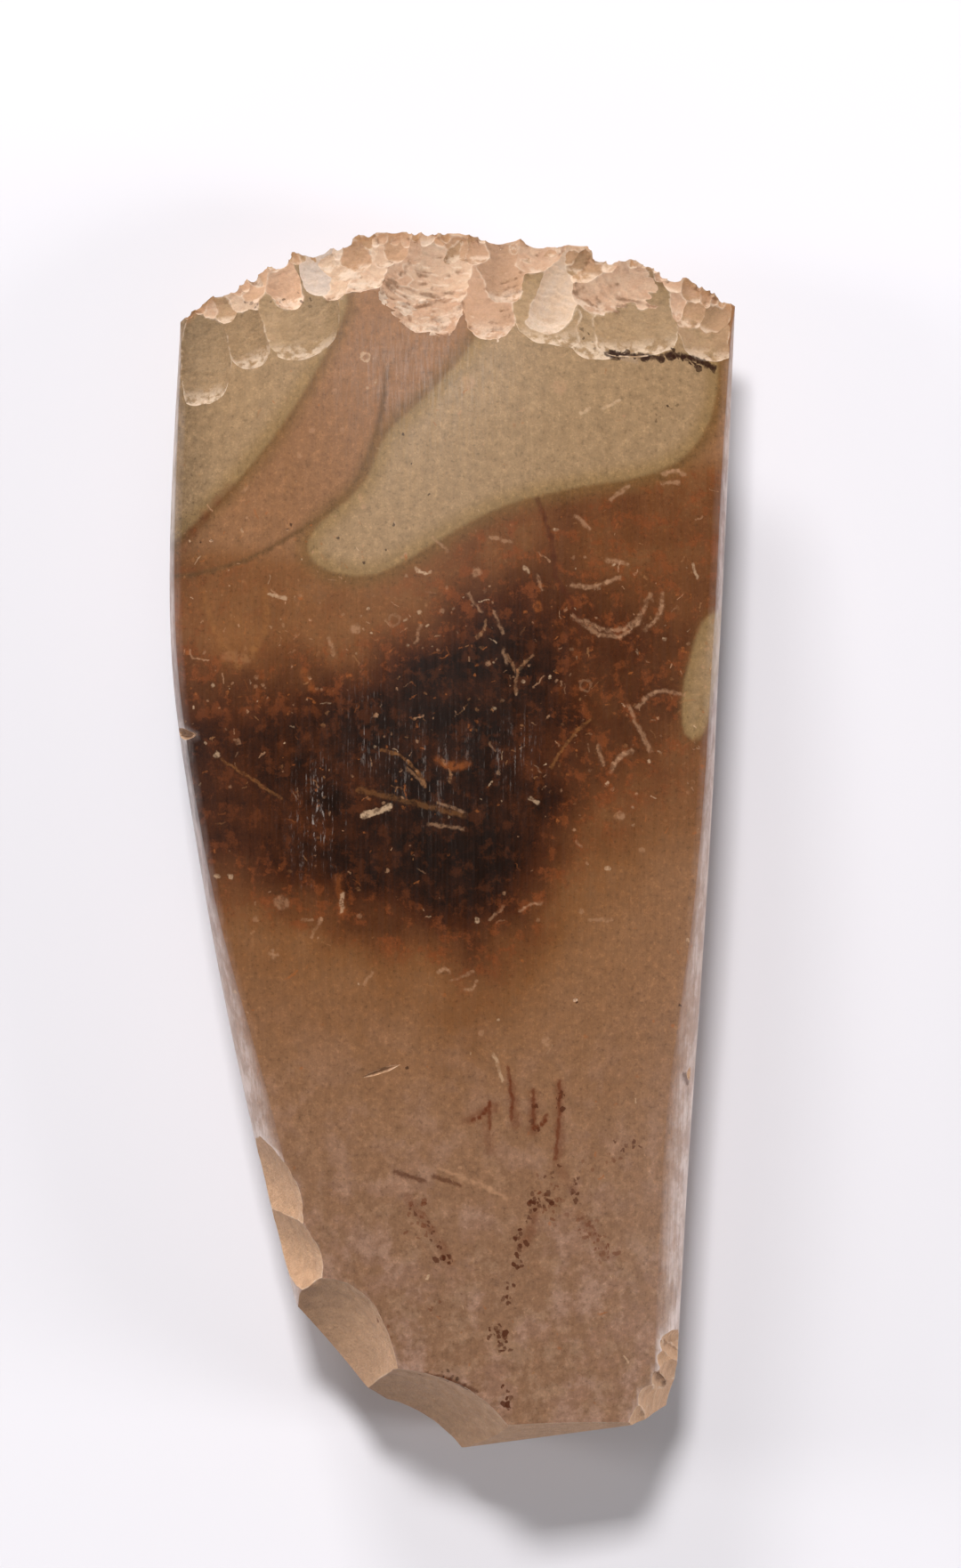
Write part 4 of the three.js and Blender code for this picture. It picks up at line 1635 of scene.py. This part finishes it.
            whole = sheet.times(sheet.minus(1.0, pale), sheet.minus(1.0, broken))
            worn = sheet.plus(broken, whole)
            cover = sheet.times(sheet.times(inside, sheet.part(look, "X")), worn)
            cover = sheet.times(cover, shown)
            tint = sheet.scaled(sheet.shades(sheet.part(look, "Z"), self.mark_tones), self.depth)
            colour = sheet.mix(cover, colour, tint)
        return colour

    def flaked_colour(self, sheet: NodeSheet, place: object, ground: object, kind: object) -> Socket:
        """Colour of the scars: the stone's own colour under a pale patina, strongest at the cutting edge,
        with painted highlights on ridges and rims and painted shade in creases and across and along each
        scar.

        Args:
            sheet: the node sheet.
            place: place in mm.
            ground: colour of the stone there.
            kind: which working made the face.

        Returns:
            The colour.
        """
        struck = sheet.stored("struck_from", vector=True)
        tone = sheet.part(struck, "Z")
        cloud = sheet.noise(place, 0.7, 4.0, 0.6)
        fine = sheet.noise(place, 3.2, 4.0, 0.65)
        sway = sheet.swing(cloud, 0.6)
        patina = sheet.shades(sheet.plus(tone, sheet.times(sway, 0.5)), self.scar_tones)
        share = sheet.step(0.1, 0.6, sheet.plus(tone, sway), (0.25, 0.92))
        edge = sheet.mix(share, sheet.scaled(ground, 1.2), patina)
        thin = sheet.step(0.1, 1.6, sheet.plus(sheet.stored("behind_edge"), sway), (0.55, 0.0))
        edge = sheet.mix(thin, edge, linear(self.edge_amber))
        butt = sheet.mix(sheet.plus(0.62, sway), ground, linear(self.butt_patina))
        colour = sheet.mix(self.made_by(sheet, kind, Working.BUTT_SCAR), edge, butt)
        ragged = sheet.swing(fine, 0.7)
        patchy = sheet.step(0.42, 0.6, sheet.noise(place, 0.55, 2.0, 0.5))
        # Painted shade along the sharp creases.
        crease = sheet.step(0.0, 0.5, sheet.plus(sheet.stored("to_crease"), ragged), (0.55, 0.0))
        colour = sheet.mix(sheet.times(crease, sheet.minus(1.1, patchy)), colour, linear(self.painted_crease_shade))
        # Painted highlight along the sharp ridges.
        ridge = sheet.step(0.0, 0.26, sheet.plus(sheet.stored("to_ridge"), ragged), (0.4, 0.0))
        colour = sheet.mix(sheet.times(ridge, patchy), colour, linear(self.painted_ridge_highlight))
        # Painted highlight on the lit rim at the far end of each scar.
        along = sheet.plus(sheet.stored("scar_along"), sheet.times(ragged, 0.08))
        scarred = self.made_by(sheet, kind, Working.BUTT_SCAR, (1.0, 0.25))
        rim = sheet.times(sheet.step(0.78, 0.97, along, (0.0, 0.5)), scarred)
        colour = sheet.mix(sheet.times(rim, sheet.step(0.4, 0.56, cloud)), colour, linear(self.painted_ridge_highlight))
        light = sheet.swing(fine, 0.4)
        rings = self.hackles(sheet, place)
        rings = sheet.times(rings, self.made_by(sheet, kind, Working.BUTT_SCAR, (0.08, 0.015)))
        light = sheet.plus(light, rings)
        # Painted shade across each scar: one side lighter and the other darker, the side chosen by the scar's
        # tone, as if lit from one side.
        slope = sheet.minus(sheet.math("FRACT", sheet.times(tone, 37.0)), 0.5)
        slope = sheet.times(slope, sheet.times(sheet.stored("scar_across"), scarred))
        light = sheet.plus(light, sheet.times(slope, 0.36))
        # Painted shade along each scar: darker toward the struck point, lighter toward the far end.
        painted_shade_along = sheet.times(sheet.step(0.0, 0.75, along, (-0.14, 0.08)), scarred)
        light = sheet.plus(light, painted_shade_along)
        return sheet.scaled(colour, sheet.times(sheet.plus(light, 1.0), self.scar_depth))

    def hackles(self, sheet: NodeSheet, place: object) -> Socket:
        """Wavering rings round the struck point: the sine of the distance from it, moved by noise.

        Args:
            sheet: the node sheet.
            place: place in mm.

        Returns:
            A wave between -1 and 1, nought where the noise hides it.
        """
        struck = sheet.plan(sheet.stored("struck_from", vector=True))
        away = sheet.vector("SUBTRACT", sheet.plan(place), struck)
        far = sheet.vector("LENGTH", away, output=1)
        warp = sheet.times(sheet.noise(place, 0.45, 3.0, 0.6), 16.0)
        rings = sheet.math("SINE", sheet.plus(sheet.times(far, 6.5), warp))
        return sheet.times(rings, sheet.step(0.4, 0.62, sheet.noise(place, 0.5, 3.0, 0.6)))

    def relief(self, sheet: NodeSheet, place: object, streak: object, flaked: object) -> Socket:
        """Fine relief: grinding streaks on the faces, a dull grain in the scars.

        Args:
            sheet: the node sheet.
            place: place in mm.
            streak: the grinding streaks.
            flaked: 1 in the scars.

        Returns:
            The bumped normal.
        """
        grain = sheet.noise(place, 1.8, 6.0, 0.68)
        rings = sheet.times(self.hackles(sheet, place), 0.35)
        broken = sheet.plus(sheet.times(grain, 5.0), rings)
        polish = sheet.times(streak, 0.16)
        height = sheet.blend(flaked, polish, sheet.times(broken, 0.5))
        bump = sheet.add("ShaderNodeBump")
        bump.inputs["Strength"].default_value = 1.0
        bump.inputs["Distance"].default_value = self.bump_distance
        sheet.feed(bump.inputs["Height"], height)
        return bump.outputs[0]


@dataclass(frozen=True)
class Cut:
    """One thing taken off the stone: its shape as vertices and faces, its working, where it was struck."""

    shape: tuple[np.ndarray, list]
    working: Working
    struck: tuple[float, float, float]
    tone: float = 0.5
    frame: tuple[float, ...] = (0.0,) * 9


@dataclass
class AxeHead:
    """The whole axe head: the ground body with every flake taken off it."""

    body: GroundBody = field(default_factory=GroundBody)
    finish: FlintFinish = field(default_factory=FlintFinish)
    spacing: float = 0.26
    corner_chips: int = 11
    chip_seed: int = 41
    pit_seed: int = 300
    side_seed: int = 320
    # Least upright part of the normal of a face that carries fossils, and the farthest distance stored.
    face_rise: float = 0.35
    farthest: float = 2.0

    def marks(self) -> list[Flake]:
        """Small damage: the gouge, the pits, the nick on the left side, the crushed places on the right.

        Returns:
            The flakes that make it.
        """
        rows = [
            ((-10.4, -27.2), (-5.4, -25.5), 0.6, 0.3),
            ((14.0, -18.3), (14.7, -18.2), 0.6, 0.2),
            ((-19.1, 36.0), (-18.6, 36.0), 0.5, 0.15),
            ((-28.0, 34.8), (-27.5, 34.7), 0.5, 0.15),
        ]
        made = []
        for number, (a, b, width, dip) in enumerate(rows):
            ends = [(*place, self.body.height_at(*place)) for place in (a, b)]
            seed = self.pit_seed + number
            upward = (0.0, 0.0, 1.0)
            proud, rough = 0.02, 0.1
            made.append(Flake(*ends, upward, width, dip, proud, Working.FRESH_CHIP, seed=seed, rough=rough))
        sides = (
            ((-31.2, 12.6, 2.5), (-29.6, 12.3), (-0.7, 0, 0.7), 1.3, 0.2),
            ((29.0, -24.8, 2.2), (27.4, -24.7), (0.9, 0, 0.4), 2.2, 0.25),
            ((28.8, -30.6, 1.8), (27.0, -30.3), (0.9, 0, 0.4), 2.6, 0.25),
        )
        sides += self.crushed_corner()
        butt = BrokenButt(self.body)
        made += [butt.flake(row, 1, self.side_seed + number) for number, row in enumerate(sides)]
        return made

    def crushed_corner(self) -> tuple:
        """Small chips crushed one over another along the broken right corner of the butt.

        Returns:
            A row for each: struck point, far end in plan, outward, width, hollow.
        """
        chance = np.random.default_rng(self.chip_seed)
        chips = []
        for k in range(self.corner_chips):
            share = (k + chance.uniform(0, 0.8)) / self.corner_chips
            x, y = 26.6 - 4.2 * share**1.6, -57.0 - 10.4 * share
            reach = chance.uniform(1.0, 2.6)
            turn = math.radians(8 + 62 * share + chance.uniform(-18, 18))
            end = (x - reach * math.cos(turn), y + reach * math.sin(turn))
            out = (math.cos(turn), -math.sin(turn), chance.uniform(0.1, 0.6))
            rise = self.body.height_at(x, y) - chance.uniform(1.5, 7.0)
            width, dip = chance.uniform(1.8, 3.8), chance.uniform(0.25, 0.5)
            chips.append(((x + 0.3, y - 0.2, rise), end, out, width, dip))
        return tuple(chips)

    def carve(self) -> tuple[bpy.types.Object, list[Cut]]:
        """Takes every cut and flake off the ground body.

        Returns:
            The carved object, whose faces carry the number of the cut that made them, and the cuts by number.
        """
        points, triangles = self.body.surface()
        stone = new_mesh_object("axe_stone", points, triangles.tolist())
        face_labels(stone, 0)
        cuts = [Cut((points, []), Working.GROUND, (0.0, 90.0, 0.0))]
        butt = BrokenButt(self.body)
        cuts += [Cut(slab(place, out), Working.BUTT_SCAR, place) for place, out in butt.flat_cuts]
        foot = (0.0, 0.0, -REST_DEPTH)
        cuts.append(Cut(slab(foot, (0.0, 0.0, -1.0)), Working.GROUND, foot))
        flakes = FlakedEdge(self.body).build() + butt.front_flakes() + butt.back_flakes() + self.marks()
        for flake in flakes:
            shape = flake.cutter(self.spacing)
            cuts.append(Cut(shape, flake.working, flake.start, flake.tone, flake.frame()))
        cutters = []
        for number, made in enumerate(cuts[1:], start=1):
            cutter = new_mesh_object(f"cutter_{number}", *made.shape)
            face_labels(cutter, number)
            cut = stone.modifiers.new(f"cut_{number}", "BOOLEAN")
            cut.operation, cut.solver, cut.object = "DIFFERENCE", "MANIFOLD", cutter
            cutters.append(cutter)
        graph = bpy.context.evaluated_depsgraph_get()
        carved = bpy.data.meshes.new_from_object(stone.evaluated_get(graph))
        stone.modifiers.clear()
        spare = stone.data
        stone.data = carved
        bpy.data.meshes.remove(spare)
        for cutter in cutters:
            old = cutter.data
            bpy.data.objects.remove(cutter)
            bpy.data.meshes.remove(old)
        return stone, cuts

    def build(self) -> bpy.types.Object:
        """Makes, dresses and places the piece.

        Returns:
            The finished object.
        """
        stone, cuts = self.carve()
        mesh = stone.data
        points = read_mesh(mesh.vertices, "co", 3) / MM
        labels = read_mesh(mesh.attributes["worked_by"].data, "value", kind=np.int32)
        fields = FlintPattern(self.body).fields(points)
        fields["flank"] = 1 - ramp(0.3, 0.8, np.abs(read_mesh(mesh.vertices, "normal", 3)[:, 2]))
        for name, values in fields.items():
            store_field(mesh, name, "POINT", values)
        store_field(mesh, "working_kind", "FACE", np.array([cut.working.value for cut in cuts])[labels])
        struck = np.array([(*cut.struck[:2], cut.tone) for cut in cuts])
        store_field(mesh, "struck_from", "FACE", struck[labels])
        self.store_shares(mesh, points, labels, cuts)
        self.store_inlays(mesh)
        self.sharpen(mesh, labels)
        moved = points + np.array([-PLAN_CENTRE[0], -PLAN_CENTRE[1], REST_DEPTH])
        mesh.vertices.foreach_set("co", np.clip(moved * MM, *np.array(CAD_BOX, float)).ravel())
        mesh.materials.clear()
        mesh.materials.append(self.finish.material())
        mesh.update()
        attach(stone, "root")
        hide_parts("axe_head")
        return stone

    def store_shares(
        self, mesh: bpy.types.Mesh, points: np.ndarray, labels: np.ndarray, cuts: list[Cut]
    ) -> None:
        """Writes on every face corner how far along and across its scar it lies.

        Args:
            mesh: the carved mesh.
            points: its vertices in mm on the drawn plan.
            labels: the cut that made each face.
            cuts: the cuts by number.
        """
        corner_point = read_mesh(mesh.loops, "vertex_index", kind=np.int32)
        corner_cut = np.repeat(labels, read_mesh(mesh.polygons, "loop_total", kind=np.int32))
        frames = np.array([cut.frame for cut in cuts])
        for name, first in (("scar_along", 3), ("scar_across", 6)):
            axis = frames[corner_cut, first:first + 3]
            share = ((points[corner_point] - frames[corner_cut, 0:3]) * axis).sum(1)
            store_field(mesh, name, "CORNER", np.clip(share, -2, 2))

    def store_inlays(self, mesh: bpy.types.Mesh) -> None:
        """Writes the nearest strokes on every face: ends, half width, ring radius and colour.

        Args:
            mesh: the carved mesh, still on the drawn plan.
        """
        centre = read_mesh(mesh.polygons, "center", 3) / MM
        rise = read_mesh(mesh.polygons, "normal", 3)[:, 2]
        unused = {"start": (0.0, 0.0, HIDDEN_STROKE), "end": (1.0, 0.0, 0.0), "look": (0.0, 0.1, 0.0)}
        data = {
            f"stroke_{part}_{layer}": np.tile(values, (len(rise), 1))
            for layer in range(STROKE_LAYERS) for part, values in unused.items()
        }
        pattern = FlintPattern(self.body)
        for side in (1, -1):
            chosen = np.flatnonzero(rise * side > self.face_rise)
            inlay = pattern.inlays(side)
            for layer, which in enumerate(nearest_strokes(centre[chosen, :2], inlay, STROKE_LAYERS)):
                start = np.column_stack([inlay.start[which], inlay.half_width[which]])
                end = np.column_stack([inlay.end[which], inlay.ring[which]])
                for part, values in (("start", start), ("end", end), ("look", inlay.look[which])):
                    data[f"stroke_{part}_{layer}"][chosen] = values
        for name, values in data.items():
            store_field(mesh, name, "FACE", values)

    def sharpen(self, mesh: bpy.types.Mesh, labels: np.ndarray) -> None:
        """Smooths the faces, with a sharp line where two cuts meet or the surface turns sharply.

        It also measures how far each vertex lies from the nearest sharp ridge and the nearest sharp crease.

        Args:
            mesh: the carved mesh.
            labels: the number of the cut that made each face.
        """
        edge_of = read_mesh(mesh.loops, "edge_index", kind=np.int32)
        totals = read_mesh(mesh.polygons, "loop_total", kind=np.int32)
        face_of = np.repeat(np.arange(len(totals)), totals)
        normal = read_mesh(mesh.polygons, "normal", 3)
        order = np.argsort(edge_of, kind="stable")
        one, two = face_of[order][0::2], face_of[order][1::2]
        number = edge_of[order][0::2]
        turned = (normal[one] * normal[two]).sum(1) < math.cos(SHARP_TURN)
        sharp = (labels[one] != labels[two]) | turned
        lines = np.zeros(len(mesh.edges), bool)
        lines[number] = sharp
        store = mesh.attributes.get("sharp_edge") or mesh.attributes.new("sharp_edge", "BOOLEAN", "EDGE")
        store.data.foreach_set("value", lines)
        mesh.polygons.foreach_set("use_smooth", np.ones(len(mesh.polygons), bool))
        centre = read_mesh(mesh.polygons, "center", 3) / MM
        apart = centre[two] - centre[one]
        slope = (apart * normal[one]).sum(1) / np.linalg.norm(apart, axis=1)
        self.store_distance(mesh, "to_ridge", number[sharp & (slope < -SHARP_SLOPE)])
        self.store_distance(mesh, "to_crease", number[sharp & (slope > SHARP_SLOPE)])

    def store_distance(self, mesh: bpy.types.Mesh, name: str, lines: np.ndarray, hops: int = 6) -> None:
        """Stores how far each vertex lies from the nearest of some edges, measured along the mesh.

        Args:
            mesh: the carved mesh, in metres on the drawn plan.
            name: name of the field.
            lines: numbers of the edges to measure from.
            hops: how many edges the measure may run along.
        """
        ends = read_mesh(mesh.edges, "vertices", 2, np.int32)
        points = read_mesh(mesh.vertices, "co", 3) / MM
        span = np.linalg.norm(points[ends[:, 0]] - points[ends[:, 1]], axis=1)
        far = np.full(len(points), self.farthest)
        far[ends[lines].ravel()] = 0
        for _ in range(hops):
            reach = far.copy()
            np.minimum.at(reach, ends[:, 0], far[ends[:, 1]] + span)
            np.minimum.at(reach, ends[:, 1], far[ends[:, 0]] + span)
            far = reach
        store_field(mesh, name, "POINT", far)


@dataclass(frozen=True)
class PaleFloor:
    """Plain pale floor. Display colour."""

    colour: tuple = (226, 223, 228)
    roughness: float = 0.7
    unevenness: float = 0.985

    def material(self) -> bpy.types.Material:
        """A matt pale material with a trace of unevenness.

        Returns:
            The material.
        """
        made = bpy.data.materials.new("pale_floor")
        sheet = NodeSheet(made)
        place = sheet.add("ShaderNodeTexCoord").outputs["Object"]
        cloud = sheet.noise(place, 3.0, 2.0, 0.5)
        first = linear(self.colour)
        second = tuple(part * self.unevenness for part in first)
        shader = sheet.add("ShaderNodeBsdfPrincipled")
        sheet.feed(shader.inputs["Base Color"], sheet.mix(cloud, first, second))
        shader.inputs["Roughness"].default_value = self.roughness
        output = sheet.add("ShaderNodeOutputMaterial")
        sheet.feed(output.inputs["Surface"], shader.outputs[0])
        return made


@dataclass
class Studio:
    """Floor, soft lights and an overhead camera. Sizes in mm unless a field says otherwise."""

    look_at: tuple[float, float] = (3.43, 6.64)
    camera_height: float = 900.0
    field_height: float = 182.9
    sensor: float = 24.0
    clip_metres: tuple[float, float] = (0.05, 10.0)
    floor_half: float = 1500.0
    sky_colour: tuple[float, float, float] = (1.0, 0.985, 0.98)
    sky_rise: tuple[float, float] = (0.2, 0.85)
    sky_strength: tuple[float, float] = (0.34, 0.05)
    floor: PaleFloor = field(default_factory=PaleFloor)
    # Each lamp: name, where it hangs, its width and height, and its power in watts.
    lamps: tuple = (
        ("key_softbox", (-200.0, 1200.0, 1900.0), (420.0, 320.0), 41.0),
        ("raking_softbox", (-500.0, 1600.0, 800.0), (500.0, 260.0), 16.0),
        ("left_softbox", (-1250.0, 100.0, 420.0), (300.0, 700.0), 6.0),
        ("right_softbox", (1250.0, -250.0, 420.0), (300.0, 900.0), 9.5),
        ("front_softbox", (0.0, -1500.0, 800.0), (900.0, 400.0), 1.0),
    )

    def build(self) -> None:
        """Makes the floor, the lights, the surrounding light and the camera."""
        half = self.floor_half
        corners = np.array([(-half, -half, 0), (half, -half, 0), (half, half, 0), (-half, half, 0)], float)
        ground = new_mesh_object("studio_floor", corners, [(0, 1, 2, 3)])
        ground.data.materials.append(self.floor.material())
        self.camera()
        for lamp in self.lamps:
            self.light(*lamp)
        self.surroundings()

    def camera(self) -> None:
        """An overhead camera whose frame is as tall as the field at the mid-plane of the stone."""
        data = bpy.data.cameras.new("overhead_camera")
        data.sensor_fit = "VERTICAL"
        data.sensor_height = self.sensor
        data.lens = self.camera_height * self.sensor / self.field_height
        data.clip_start, data.clip_end = self.clip_metres
        made = bpy.data.objects.new("overhead_camera", data)
        made.location = (
            (self.look_at[0] - PLAN_CENTRE[0]) * MM,
            (self.look_at[1] - PLAN_CENTRE[1]) * MM,
            (self.camera_height + REST_DEPTH) * MM,
        )
        bpy.context.scene.collection.objects.link(made)
        bpy.context.scene.camera = made

    def light(
        self, name: str, place: tuple[float, float, float], size: tuple[float, float], power: float
    ) -> None:
        """A soft box turned toward the stone.

        Args:
            name: the lamp's name.
            place: where it hangs, in mm.
            size: its width and height, in mm.
            power: in watts.
        """
        data = bpy.data.lights.new(name, "AREA")
        data.shape = "RECTANGLE"
        data.size, data.size_y = size[0] * MM, size[1] * MM
        data.energy = power
        made = bpy.data.objects.new(name, data)
        made.location = tuple(part * MM for part in place)
        away = unit(np.asarray(place, float))
        made.rotation_euler = (math.acos(away[2]), 0.0, math.atan2(away[1], away[0]) + math.pi / 2)
        bpy.context.scene.collection.objects.link(made)

    def surroundings(self) -> None:
        """Pale surroundings, brighter low down and darker overhead."""
        world = bpy.data.worlds.new("studio_surroundings")
        sheet = NodeSheet(world)
        upward = sheet.part(sheet.add("ShaderNodeTexCoord").outputs["Generated"], "Z")
        strength = sheet.step(*self.sky_rise, upward, self.sky_strength)
        background = sheet.add("ShaderNodeBackground")
        background.inputs["Color"].default_value = (*self.sky_colour, 1.0)
        sheet.feed(background.inputs["Strength"], strength)
        output = sheet.add("ShaderNodeOutputWorld")
        sheet.feed(output.inputs["Surface"], background.outputs[0])
        bpy.context.scene.world = world


def main() -> None:
    """Builds the studio and the axe head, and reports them."""
    logging.basicConfig(level=logging.INFO, format="%(message)s")
    bpy.context.scene.view_settings.view_transform = "Standard"
    Studio().build()
    stone = AxeHead().build()
    triangles = sum(len(face.vertices) - 2 for face in stone.data.polygons)
    LOG.info("%s: %d vertices, %d triangles", stone.name, len(stone.data.vertices), triangles)


if __name__ == "__main__":
    main()
